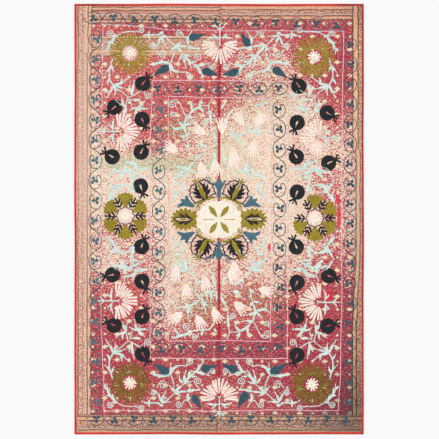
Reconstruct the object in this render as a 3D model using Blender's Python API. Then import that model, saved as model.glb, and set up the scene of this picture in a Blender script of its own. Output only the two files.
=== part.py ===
"""Ralli blanket: two quilted cloth widths, a crimson strip at their join and a red binding.

The blanket lies flat with its face up. X runs across its width, Y along its length and
Z up. The origin is the middle of its underside. All sizes are in metres.
"""

import math

import bmesh
import bpy

# Whole blanket
WIDTH = 1.500
LENGTH = 2.232
GAP = 0.0003
EDGE_WANDER = 0.0014
CORNER_RADIUS = 0.004

# Quilted cloth: stitched rows run across it, and the cloth between them puffs up
ROW_PITCH = 0.024
ROW_HEIGHT = 0.0021
PUFF_HEIGHT = 0.0007
PUFF_UNEVENNESS = 0.0002
ROW_WANDER = 0.0020
PUFF_COLUMNS = 5

# Red binding: one strip of cloth folded over each edge
BINDING_WIDTH = 0.010
BINDING_CLOTH = 0.0007
BINDING_HEIGHT = 0.0032
BINDING_STEP = 0.045

# Cloth pressed thin where the binding grips it, a little short of the binding's fold
GRIP_SLACK = 0.001
GRIP_SLOPE = 0.0022
GRIP_BOTTOM = BINDING_CLOTH + GAP
GRIP_TOP = BINDING_HEIGHT - BINDING_CLOTH - GAP

# Crimson strip at the join of the two widths, which drifts sideways near the top end
STRIP_WIDTH = 0.011
STRIP_HEIGHT = 0.0022
STRIP_DRIFT = 0.012
DRIFT_START = 0.660
DRIFT_END = 0.950

HALF_WIDTH = WIDTH / 2
HALF_LENGTH = LENGTH / 2
ROW_COUNT = 2 * round((HALF_LENGTH - BINDING_WIDTH) / ROW_PITCH)

COLOURS = {
    "cloth": (0.66, 0.30, 0.26, 1.0),
    "strip": (0.50, 0.01, 0.03, 1.0),
    "binding": (0.62, 0.02, 0.02, 1.0),
}
ROUGHNESS = 0.9


def clear_scene():
    """Remove every object of the open scene."""
    for old in list(bpy.data.objects):
        bpy.data.objects.remove(old, do_unlink=True)


def cloth_material(name):
    """A matt cotton finish in one of the blanket's colours."""
    material = bpy.data.materials.new(name)
    material.use_nodes = True
    shader = material.node_tree.nodes["Principled BSDF"]
    shader.inputs["Base Color"].default_value = COLOURS[name]
    shader.inputs["Roughness"].default_value = ROUGHNESS
    shader.inputs["Metallic"].default_value = 0.0
    return material


def smoothstep(value, start, end):
    """0 before start, 1 after end and an even curve between them."""
    share = min(max((value - start) / (end - start), 0.0), 1.0)
    return share * share * (3.0 - 2.0 * share)


def edge_wander(along, half_run, phase):
    """How far a sewn edge strays outwards at a place along it; nothing at its corners."""
    turn = 2.0 * math.pi * along
    swing = 0.7 * math.sin(turn / 0.93 + phase) + 0.3 * math.sin(turn / 0.41 + 2.0 * phase)
    return EDGE_WANDER * swing * math.cos(0.5 * math.pi * along / half_run)


def seam_line(y):
    """Where the middle of the crimson strip lies across the blanket."""
    return STRIP_DRIFT * smoothstep(y, DRIFT_START, DRIFT_END)


def spaced(start, end, count):
    """Count even steps from start to end, both ends included."""
    return [start + (end - start) * step / count for step in range(count + 1)]


def gripped_lines(half_size):
    """Lines at one edge of the cloth: its rim, where it leaves the binding, its full height."""
    rim = half_size - BINDING_CLOTH - GRIP_SLACK
    leaves = half_size - BINDING_WIDTH - GRIP_SLACK
    return [rim, leaves, leaves - GRIP_SLOPE]


def row_lines(steps_a_row):
    """Lines along the blanket's length, with the gripped ends and the quilted rows."""
    rim, leaves, full = gripped_lines(HALF_LENGTH)
    rows = spaced(-full, full, ROW_COUNT * steps_a_row)
    return [-rim, -leaves] + rows + [leaves, rim]


def puff_height(x, line):
    """Height of the quilted face on a line of the grid: low on a sewn row, high between rows."""
    if line % 2 == 0:
        return ROW_HEIGHT
    uneven = math.sin(9.0 * x + 1.7 * line) * math.sin(0.31 * line - 4.0 * x)
    return ROW_HEIGHT + PUFF_HEIGHT + PUFF_UNEVENNESS * uneven


def grid_index(position, lines):
    """Which of the lines a point of the unshaped grid, from -1 to 1, stands on."""
    return round((position + 1.0) / 2.0 * (len(lines) - 1))


def grid_body(name, x_lines, y_lines, place_top, place_bottom):
    """A closed sheet: a grid, thickened by an extrusion and shaped point by point.

    place_top and place_bottom give the finished point for a column and a line of the grid.
    """
    body = bmesh.new()
    bmesh.ops.create_grid(body, x_segments=len(x_lines) - 1, y_segments=len(y_lines) - 1, size=1.0)
    top_points = list(body.verts)
    copied = bmesh.ops.extrude_face_region(body, geom=list(body.faces))["geom"]
    bottom_points = [item for item in copied if isinstance(item, bmesh.types.BMVert)]
    for points, place in ((top_points, place_top), (bottom_points, place_bottom)):
        for point in points:
            column = grid_index(point.co.x, x_lines)
            line = grid_index(point.co.y, y_lines)
            point.co = place(column, line)
    bmesh.ops.recalc_face_normals(body, faces=body.faces)
    return finished_object(name, body)


def finished_object(name, body):
    """Write a bmesh into a new named object of the blanket's collection."""
    mesh = bpy.data.meshes.new(name)
    body.to_mesh(mesh)
    body.free()
    piece = bpy.data.objects.new(name, mesh)
    bpy.data.collections["ralli_blanket"].objects.link(piece)
    return piece


def quilted_width(name, side):
    """One of the two printed cloth widths; side is -1 on the left and 1 on the right."""
    rim, leaves, full = gripped_lines(HALF_WIDTH)
    inner = STRIP_WIDTH / 2 + GAP
    x_lines = spaced(inner, full, PUFF_COLUMNS) + [leaves, rim]
    y_lines = row_lines(2)
    last_column = len(x_lines) - 1
    last_line = len(y_lines) - 1

    def plan_point(column, line):
        reach = x_lines[column]
        y = y_lines[line]
        outward = (reach - inner) / (full - inner)
        endward = min(abs(y) / (HALF_LENGTH - BINDING_WIDTH), 1.0)
        x = side * reach + side * min(outward, 1.0) * edge_wander(y, HALF_LENGTH, 1.0 + side)
        x += max(1.0 - outward, 0.0) * seam_line(y)
        end = math.copysign(1.0, y)
        y += end * endward * edge_wander(x, HALF_WIDTH, 2.0 + end)
        if 2 < line < last_line - 2:
            y += ROW_WANDER * math.sin(5.0 * x + 0.13 * line) * (1.0 - endward)
        if column == last_column and line in (0, last_line):
            x -= side * CORNER_RADIUS
            y -= end * CORNER_RADIUS
        return x, y

    def gripped(column, line):
        return column > PUFF_COLUMNS or line < 2 or line > last_line - 2

    def top(column, line):
        x, y = plan_point(column, line)
        height = GRIP_TOP if gripped(column, line) else puff_height(x, line)
        return x, y, height

    def bottom(column, line):
        x, y = plan_point(column, line)
        return x, y, GRIP_BOTTOM if gripped(column, line) else 0.0

    return grid_body(name, x_lines, y_lines, top, bottom)


def crimson_strip():
    """The strip that shows at the join, from one end of the blanket to the other."""
    x_lines = [-STRIP_WIDTH / 2, STRIP_WIDTH / 2]
    y_lines = row_lines(1)
    last_line = len(y_lines) - 1

    def plan_point(column, line):
        y = y_lines[line]
        end = math.copysign(1.0, y)
        endward = min(abs(y) / (HALF_LENGTH - BINDING_WIDTH), 1.0)
        x = x_lines[column] + seam_line(y)
        return x, y + end * endward * edge_wander(x, HALF_WIDTH, 2.0 + end)

    def gripped(line):
        return line < 2 or line > last_line - 2

    def top(column, line):
        x, y = plan_point(column, line)
        return x, y, GRIP_TOP if gripped(line) else STRIP_HEIGHT

    def bottom(column, line):
        x, y = plan_point(column, line)
        return x, y, GRIP_BOTTOM if gripped(line) else 0.0

    return grid_body("seam_strip", x_lines, y_lines, top, bottom)


def binding_section():
    """The folded strip's section as (distance in from the edge, height), open inwards."""
    fold = BINDING_CLOTH
    slot_top = BINDING_HEIGHT - BINDING_CLOTH
    return [
        (0.0, 0.0),
        (BINDING_WIDTH, 0.0),
        (BINDING_WIDTH, fold),
        (fold, fold),
        (fold, slot_top),
        (BINDING_WIDTH, slot_top),
        (BINDING_WIDTH, BINDING_HEIGHT),
        (0.0, BINDING_HEIGHT),
    ]


def corner_pull(from_end):
    """How far the rounded corner draws the outer edge in, a distance from the strip's end."""
    short = max(CORNER_RADIUS - from_end, 0.0)
    return CORNER_RADIUS - math.sqrt(CORNER_RADIUS**2 - short**2)


def binding_strip(name, stations, place):
    """A folded strip: its section is drawn once and extruded from station to station.

    place gives the finished point for a station, a distance in from the edge and a height.
    """
    body = bmesh.new()
    section = binding_section()
    corners = [body.verts.new(place(stations[0], inset, height)) for inset, height in section]
    leading = body.faces.new(corners)
    for step, station in enumerate(stations[1:]):
        passed = leading
        copied = bmesh.ops.extrude_face_region(body, geom=[passed])["geom"]
        leading = next(item for item in copied if isinstance(item, bmesh.types.BMFace))
        for point, (inset, height) in zip(leading.verts, section, strict=True):
            point.co = place(station, inset, height)
        if step > 0:
            bmesh.ops.delete(body, geom=[passed], context="FACES_ONLY")
    bmesh.ops.recalc_face_normals(body, faces=body.faces)
    return finished_object(name, body)


def side_binding(name, side):
    """The binding of a long edge, with the blanket's rounded corners at its two ends."""
    straight = HALF_LENGTH - CORNER_RADIUS
    steps = round(2.0 * straight / BINDING_STEP)
    rounding = [HALF_LENGTH - CORNER_RADIUS * 0.3, HALF_LENGTH]
    stations = [-y for y in reversed(rounding)] + spaced(-straight, straight, steps) + rounding

    def place(y, inset, height):
        reach = HALF_WIDTH + edge_wander(y, HALF_LENGTH, 1.0 + side) - inset
        if inset < BINDING_WIDTH:
            reach -= corner_pull(HALF_LENGTH - abs(y))
        return side * reach, y, height

    return binding_strip(name, stations, place)


def end_binding(name, end):
    """The binding of a short edge, butted between the two long ones."""
    run = HALF_WIDTH - BINDING_WIDTH - GAP
    stations = spaced(-run, run, round(2.0 * run / BINDING_STEP))

    def place(x, inset, height):
        return x, end * (HALF_LENGTH + edge_wander(x, HALF_WIDTH, 2.0 + end) - inset), height

    return binding_strip(name, stations, place)


def dress(pieces, finish):
    """Give one finish to each piece."""
    material = cloth_material(finish)
    for piece in pieces:
        piece.data.materials.append(material)


def build_blanket():
    """Model the whole blanket."""
    clear_scene()
    collection = bpy.data.collections.new("ralli_blanket")
    bpy.context.scene.collection.children.link(collection)
    widths = [quilted_width("cloth_left", -1), quilted_width("cloth_right", 1)]
    sides = [side_binding("binding_left", -1), side_binding("binding_right", 1)]
    ends = [end_binding("binding_bottom", -1), end_binding("binding_top", 1)]
    dress(widths, "cloth")
    dress([crimson_strip()], "strip")
    dress(sides + ends, "binding")


build_blanket()
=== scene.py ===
"""Looks of a ralli blanket: printed and quilted cotton, a red binding and hand embroidery.

Sizes are in metres unless a name or a comment gives another unit. X runs across the blanket,
Y along it and Z up out of its face. The embroidery is drawn in centimetres from the middle of
the blanket, as on a maker's paper pattern.
"""

import logging
import math
from collections.abc import Iterable, Sequence
from dataclasses import dataclass
from enum import Enum
from functools import cache
from typing import Any

import bpy
import numpy as np
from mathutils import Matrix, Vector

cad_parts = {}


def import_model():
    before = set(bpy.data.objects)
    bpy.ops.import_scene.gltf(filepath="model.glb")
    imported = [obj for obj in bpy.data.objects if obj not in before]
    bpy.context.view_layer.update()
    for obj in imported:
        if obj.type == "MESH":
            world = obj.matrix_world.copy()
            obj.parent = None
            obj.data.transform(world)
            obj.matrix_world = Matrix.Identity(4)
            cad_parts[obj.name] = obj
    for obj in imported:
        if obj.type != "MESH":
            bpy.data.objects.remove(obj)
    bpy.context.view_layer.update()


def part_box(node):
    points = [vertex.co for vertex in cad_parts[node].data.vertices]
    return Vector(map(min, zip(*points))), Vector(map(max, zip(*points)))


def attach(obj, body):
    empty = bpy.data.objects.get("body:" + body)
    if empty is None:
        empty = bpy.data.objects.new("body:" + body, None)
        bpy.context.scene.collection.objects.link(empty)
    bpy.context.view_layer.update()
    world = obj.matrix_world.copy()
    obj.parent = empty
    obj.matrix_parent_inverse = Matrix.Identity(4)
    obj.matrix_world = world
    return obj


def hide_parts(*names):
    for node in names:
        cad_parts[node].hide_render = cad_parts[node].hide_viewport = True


LOG = logging.getLogger("ralli_blanket")
CM = 0.01
MM = 0.001
FULL_TURN = 2.0 * math.pi

Array = np.ndarray
Spot = tuple[float, float]
Spots = tuple[Spot, ...]
Turned = tuple[float, float, float]
Drawing = Sequence[Spot] | Array


def linear_colour(code: str) -> tuple[float, float, float, float]:
    """Turn a colour written as six hexadecimal digits into Blender's linear values.

    Args:
        code: Red, green and blue as two hexadecimal digits each.

    Returns:
        The linear red, green and blue values and an alpha of 1.
    """
    parts = [int(code[start : start + 2], 16) / 255.0 for start in (0, 2, 4)]
    linear = [part / 12.92 if part <= 0.04045 else ((part + 0.055) / 1.055) ** 2.4 for part in parts]
    return (linear[0], linear[1], linear[2], 1.0)


def feed(tree: Any, socket: Any, value: Any) -> None:
    """Link a socket to a value that nodes work out, or set it to a plain number or colour."""
    if isinstance(value, Value):
        tree.links.new(value.socket, socket)
    else:
        socket.default_value = linear_colour(value) if isinstance(value, str) else value


def with_node(tree: Any, kind: str, inputs: dict[Any, Any], output: Any = 0, **settings: Any) -> "Value":
    """Add one node to a material.

    Args:
        tree: The material's node tree.
        kind: The node's type.
        inputs: What its inputs get, by name or number.
        output: Name or number of the output that is wanted.
        settings: Its other settings.

    Returns:
        The output's value.
    """
    node = tree.nodes.new(kind)
    for name, setting in settings.items():
        setattr(node, name, setting)
    for key, value in inputs.items():
        feed(tree, node.inputs[key], value)
    return Value(tree, node.outputs[output])


@dataclass(frozen=True)
class Value:
    """A number or a colour that nodes work out, so that a pattern reads as a formula."""

    tree: Any
    socket: Any

    def maths(self, operation: str, second: Any = 0.0) -> "Value":
        """Add a Math node with this value first and perhaps a second one."""
        return with_node(self.tree, "ShaderNodeMath", {0: self, 1: second}, operation=operation)

    def __add__(self, other: Any) -> "Value":
        """Add another value."""
        return self.maths("ADD", other)

    def __sub__(self, other: Any) -> "Value":
        """Take another value away."""
        return self.maths("SUBTRACT", other)

    def __rsub__(self, other: float) -> "Value":
        """Take this value away from a number."""
        return with_node(self.tree, "ShaderNodeMath", {0: other, 1: self}, operation="SUBTRACT")

    def __mul__(self, other: Any) -> "Value":
        """Multiply by another value."""
        return self.maths("MULTIPLY", other)

    def scaled(self, factor: float, offset: float = 0.0, clamp: bool = False) -> "Value":
        """Multiply by a factor and add an offset, kept between 0 and 1 if clamp is set."""
        inputs = {0: self, 1: factor, 2: offset}
        return with_node(self.tree, "ShaderNodeMath", inputs, operation="MULTIPLY_ADD", use_clamp=clamp)

    def wave(self, length: float) -> "Value":
        """Give a sine wave of this length along the value."""
        return (self * (FULL_TURN / length)).maths("SINE")

    def step(self, start: float, end: float) -> "Value":
        """Give 0 before start and 1 past end, with a smooth step between, in either order."""
        rising = start < end
        inputs = {
            "Value": self,
            "From Min": min(start, end),
            "From Max": max(start, end),
            "To Min": 0.0 if rising else 1.0,
            "To Max": 1.0 if rising else 0.0,
        }
        return with_node(self.tree, "ShaderNodeMapRange", inputs, "Result", interpolation_type="SMOOTHSTEP")

    def covered(self, share: Any, colour: Any) -> "Value":
        """Lay another colour over this one; share says how much of it shows, from 0 to 1."""
        return with_node(self.tree, "ShaderNodeMix", {0: share, 6: self, 7: colour}, 2, data_type="RGBA")

    def shaded(self, factor: Any) -> "Value":
        """Make a colour lighter or darker by a factor."""
        return with_node(self.tree, "ShaderNodeHueSaturation", {"Color": self, "Value": factor})


class Pattern:
    """A material whose pattern is worked out by nodes from the place in the blanket's frame."""

    def __init__(self, name: str) -> None:
        """Start a material with one Principled shader."""
        self.material = bpy.data.materials.new(name)
        self.material.use_nodes = True
        self.tree = self.material.node_tree
        self.shader = self.tree.nodes["Principled BSDF"]
        self.spot = with_node(self.tree, "ShaderNodeTexCoord", {}, "Object")
        self.x, self.y, self.z = (
            with_node(self.tree, "ShaderNodeSeparateXYZ", {0: self.spot}, axis) for axis in range(3)
        )

    def flat_noise(
        self, squeeze: float, scale: float, detail: float = 2.0, roughness: float = 0.5
    ) -> Value:
        """Give uneven values in the blanket's plane.

        Args:
            squeeze: How much they are drawn out along X: 1 is not at all, and less is longer.
            scale: Their features are about 1 / scale metres in size.
            detail: How many finer layers are added.
            roughness: How strong the finer layers are.

        Returns:
            The values, about 0.5.
        """
        place = with_node(self.tree, "ShaderNodeCombineXYZ", {0: self.x * squeeze, 1: self.y})
        return self.noise(scale, detail, roughness, place)

    def noise(
        self, scale: float, detail: float = 2.0, roughness: float = 0.5, place: Value | None = None
    ) -> Value:
        """Give uneven values at a place, or at the shaded point if none is given."""
        inputs = {"Vector": place or self.spot, "Scale": scale, "Detail": detail, "Roughness": roughness}
        return with_node(self.tree, "ShaderNodeTexNoise", inputs, "Fac")

    def attribute(self, name: str) -> Value:
        """Read a value that is stored on the mesh's points."""
        return with_node(self.tree, "ShaderNodeAttribute", {}, "Fac", attribute_name=name)

    def mixed(self, share: Any, below: str, above: str) -> Value:
        """Mix two colours; share says how much of the second one shows."""
        return with_node(self.tree, "ShaderNodeMix", {0: share, 6: below, 7: above}, 2, data_type="RGBA")

    def stripes(self, value: Value, reach: float, bands: "Stripes") -> tuple[Value, Value]:
        """Draw printed stripes along a measure.

        Args:
            value: The measure across the stripes, in metres.
            reach: The measure at which the last stripe ends.
            bands: The stripes, each with its start, its colour and its kind.

        Returns:
            The stripes' colour and their kind.
        """
        ramp = self.tree.nodes.new("ShaderNodeValToRGB")
        ramp.color_ramp.interpolation = "CONSTANT"
        feed(self.tree, ramp.inputs[0], value * (1.0 / reach))
        elements = ramp.color_ramp.elements
        elements.remove(elements[-1])
        for index, (start, code, *kind) in enumerate(bands):
            share = start * MM / reach
            element = elements[0] if index == 0 else elements.new(share)
            element.position = share
            element.color = (*linear_colour(code)[:3], *(kind or (1.0,)))
        return Value(self.tree, ramp.outputs["Color"]), Value(self.tree, ramp.outputs["Alpha"])

    def finish(
        self,
        colour: Value,
        roughness: Any,
        sheen: float = 0.0,
        relief: tuple[Value, float, float] | None = None,
        specular: float = 0.25,
    ) -> bpy.types.Material:
        """Join the pattern to the shader.

        Args:
            colour: The colour.
            roughness: How matt it is, from 0 to 1.
            sheen: Strength of the fibres' soft shine.
            relief: A fine relief: its height from 0 to 1, how strongly it shades, and what a
                height of 1 stands for in metres.
            specular: Strength of the plain shine.

        Returns:
            The material.
        """
        settings = {
            "Metallic": 0.0,
            "Base Color": colour,
            "Roughness": roughness,
            "Specular IOR Level": specular,
            "Sheen Weight": sheen,
            "Sheen Roughness": 0.6,
        }
        if relief:
            height, strength, depth = relief
            inputs = {"Height": height, "Strength": strength, "Distance": depth}
            settings["Normal"] = with_node(self.tree, "ShaderNodeBump", inputs)
        for name, value in settings.items():
            feed(self.tree, self.shader.inputs[name], value)
        return self.material


@dataclass(frozen=True)
class BlanketForm:
    """Shape of the bare blanket, with the same rules as its solids."""

    half_width: float
    half_length: float
    binding_width: float = 0.010
    binding_cloth: float = 0.0007
    binding_height: float = 0.0032
    gap: float = 0.0003
    wander: float = 0.0014
    corner_radius: float = 0.004
    slack: float = 0.001
    slope: float = 0.0022
    strip_width: float = 0.011
    strip_height: float = 0.0022
    strip_drift: float = 0.012
    drift_start: float = 0.660
    drift_end: float = 0.950
    row_height: float = 0.0021
    puff_height: float = 0.0007
    row_wander: float = 0.0020
    row_count: int = 184

    @classmethod
    def from_frame(cls) -> "BlanketForm":
        """Take the blanket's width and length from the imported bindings."""
        long_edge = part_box("binding_left")[1].y
        short_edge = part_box("binding_top")[1].x
        return cls(half_width=short_edge + cls.binding_width + cls.gap, half_length=long_edge)

    @property
    def grip_bottom(self) -> float:
        """Height of the thinned rim's underside."""
        return self.binding_cloth + self.gap

    @property
    def grip_top(self) -> float:
        """Height of the thinned rim's face."""
        return self.binding_height - self.binding_cloth - self.gap

    @property
    def inner_edge(self) -> float:
        """Distance from the strip's middle to a cloth width's inner edge."""
        return self.strip_width / 2 + self.gap

    def gripped_lines(self, half_size: float) -> tuple[float, float, float]:
        """Give the rim, the line where the cloth leaves the binding and its full height."""
        leaves = half_size - self.binding_width - self.slack
        return half_size - self.binding_cloth - self.slack, leaves, leaves - self.slope

    def edge_wander(self, along: Array, half_run: float, phase: float) -> Array:
        """How far a sewn edge strays outwards at a place along it; nothing at its corners."""
        turn = 2.0 * math.pi * np.asarray(along, float)
        swing = 0.7 * np.sin(turn / 0.93 + phase) + 0.3 * np.sin(turn / 0.41 + 2.0 * phase)
        return self.wander * swing * np.cos(0.5 * math.pi * np.asarray(along) / half_run)

    def endward(self, y: Array) -> Array:
        """How near to an end a place is: 0 in the middle and 1 from the binding on."""
        return np.minimum(np.abs(y) / (self.half_length - self.binding_width), 1.0)

    def strayed(self, x: Array, y: Array) -> Array:
        """Move places along the blanket with the wander of its two short edges."""
        end, endward = np.sign(y), self.endward(y)
        for way in (-1.0, 1.0):
            stray = self.edge_wander(x, self.half_width, 2.0 + way)
            y = y + np.where(end == way, way * endward * stray, 0.0)
        return y

    def seam_line(self, y: Array) -> Array:
        """Where the middle of the crimson strip lies across the blanket."""
        share = np.clip((y - self.drift_start) / (self.drift_end - self.drift_start), 0.0, 1.0)
        return self.strip_drift * (share * share * (3.0 - 2.0 * share))

    def face_height(self, x: Array, y: Array) -> Array:
        """Height of the quilted face: low on each stitched row and high between rows."""
        full = self.gripped_lines(self.half_length)[2]
        turn = math.pi * self.row_count * (y + full) / (2.0 * full)
        uneven = 1.0 + 0.3 * np.sin(23.0 * x + 7.0 * y) * np.sin(61.0 * y - 17.0 * x)
        puff = self.puff_height * np.sin(turn) ** 2 * uneven
        on_strip = np.abs(x - self.seam_line(y)) < self.strip_width / 2
        return np.where(on_strip, self.strip_height, self.row_height + puff)


def new_piece(name: str, points: Array, faces: Sequence[Array]) -> bpy.types.Object:
    """Make an object from arrays of points and faces, shaded flat.

    Args:
        name: The piece's name.
        points: Places of its points, one row each.
        faces: Arrays of faces, each array with one number of corners.

    Returns:
        The new object, linked to the scene.
    """
    mesh = bpy.data.meshes.new(name)
    mesh.from_pydata(points.tolist(), [], [face for group in faces for face in group.tolist()])
    piece = bpy.data.objects.new(name, mesh)
    bpy.context.scene.collection.objects.link(piece)
    return piece


def set_values(piece: bpy.types.Object, name: str, values: Array) -> None:
    """Store one number for each point of a piece."""
    layer = piece.data.attributes.new(name, "FLOAT", "POINT")
    layer.data.foreach_set("value", np.ascontiguousarray(values, dtype=np.float32))


def set_flat_map(piece: bpy.types.Object, corners: Array) -> None:
    """Give a piece its flat map, one place for each corner of its faces."""
    layer = piece.data.uv_layers.new(name="OFBake")
    layer.data.foreach_set("uv", np.ascontiguousarray(corners, dtype=np.float32).ravel())


def smooth_curve(points: Drawing, closed: bool = False, steps: int = 8) -> Array:
    """Draw a smooth curve through points.

    Args:
        points: The points in order.
        closed: Whether the curve comes back to its first point.
        steps: How many short straight runs replace each span.

    Returns:
        The curve's points, one row each.
    """
    knots = np.asarray(points, float)
    if len(knots) < 3 and not closed:
        shares = np.linspace(0.0, 1.0, steps + 1)[:, None]
        return knots[0] + (knots[-1] - knots[0]) * shares
    if closed:
        ring = np.vstack([knots[-1], knots, knots[0], knots[1]])
    else:
        ring = np.vstack([2 * knots[0] - knots[1], knots, 2 * knots[-1] - knots[-2]])
    drawn = []
    shares = np.linspace(0.0, 1.0, steps, endpoint=False)[:, None]
    for before, start, end, after in zip(ring, ring[1:], ring[2:], ring[3:]):
        bend = 2 * before - 5 * start + 4 * end - after
        twist = 3 * start - before - 3 * end + after
        drawn.append(start + 0.5 * shares * ((end - before) + shares * (bend + shares * twist)))
    drawn.append(ring[-2][None, :])
    return np.vstack(drawn)


def run_along(line: Array) -> Array:
    """Give the distance along a line from its start to each of its points."""
    return np.concatenate([[0.0], np.cumsum(np.hypot(*np.diff(line, axis=0).T))])


def arc(centre: Spot, radius: float, start: float, end: float, steps: int = 24) -> Array:
    """Draw part of a circle, with its angles in degrees."""
    turn = np.radians(np.linspace(start, end, steps + 1))
    return np.column_stack([centre[0] + radius * np.cos(turn), centre[1] + radius * np.sin(turn)])


def leaf(start: Spot, end: Spot, width: float, belly: float = 0.5) -> Array:
    """Draw a pointed leaf from start to end; belly says where it is widest, from 0 to 1."""
    first, last = np.array(start, float), np.array(end, float)
    lead = last - first
    aside = np.array([-lead[1], lead[0]]) / np.hypot(*lead)
    shares = np.linspace(0.0, 1.0, 14)
    half = 0.5 * width * np.sin(math.pi * shares ** (math.log(0.5) / math.log(belly))) ** 0.75
    spine = first + lead * shares[:, None]
    return np.vstack([spine + aside * half[:, None], (spine - aside * half[:, None])[-2:0:-1]])


def spiral(centre: Spot, radius: float, tail: Spot, turns: float = 1.6, spin: float = 1.0) -> Array:
    """Draw a curled end: a spiral about a centre that runs out to a tail."""
    away = math.atan2(tail[1] - centre[1], tail[0] - centre[0])
    start = away - spin * math.radians(70.0)
    shares = np.linspace(0.0, 1.0, 26)
    turn = start - spin * 2.0 * math.pi * turns * (1.0 - shares)
    reach = radius * (0.18 + 0.82 * shares)
    curl = np.column_stack([centre[0] + reach * np.cos(turn), centre[1] + reach * np.sin(turn)])
    return smooth_curve(np.vstack([curl[::2], [tail]]), steps=4)


@dataclass(frozen=True)
class Placing:
    """Where a drawing is put on the blanket: its place in centimetres, its turn and its side."""

    x: float = 0.0
    y: float = 0.0
    turn: float = 0.0
    flip: bool = False
    scale: float = 1.0

    def put(self, drawing: Drawing) -> Array:
        """Turn a drawing and move it to its place, still in centimetres."""
        spots = np.array(drawing, float).reshape(-1, 2)
        if self.flip:
            spots[:, 1] *= -1.0
        angle = math.radians(self.turn)
        cosine, sine = math.cos(angle) * self.scale, math.sin(angle) * self.scale
        turned_x = spots[:, 0] * cosine - spots[:, 1] * sine + self.x
        turned_y = spots[:, 0] * sine + spots[:, 1] * cosine + self.y
        return np.column_stack([turned_x, turned_y])


class Stitch(Enum):
    """Kinds of stitch, each with its length, its spacing of rows and its height in millimetres."""

    CHAIN = (7.4, 3.7, 0.9)
    LINE = (8.0, 3.3, 0.7)
    SATIN = (9.0, 3.4, 0.45)

    def __init__(self, *sizes: float) -> None:
        """Keep the sizes in metres."""
        self.length, self.spacing, self.height = (size * MM for size in sizes)


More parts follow.
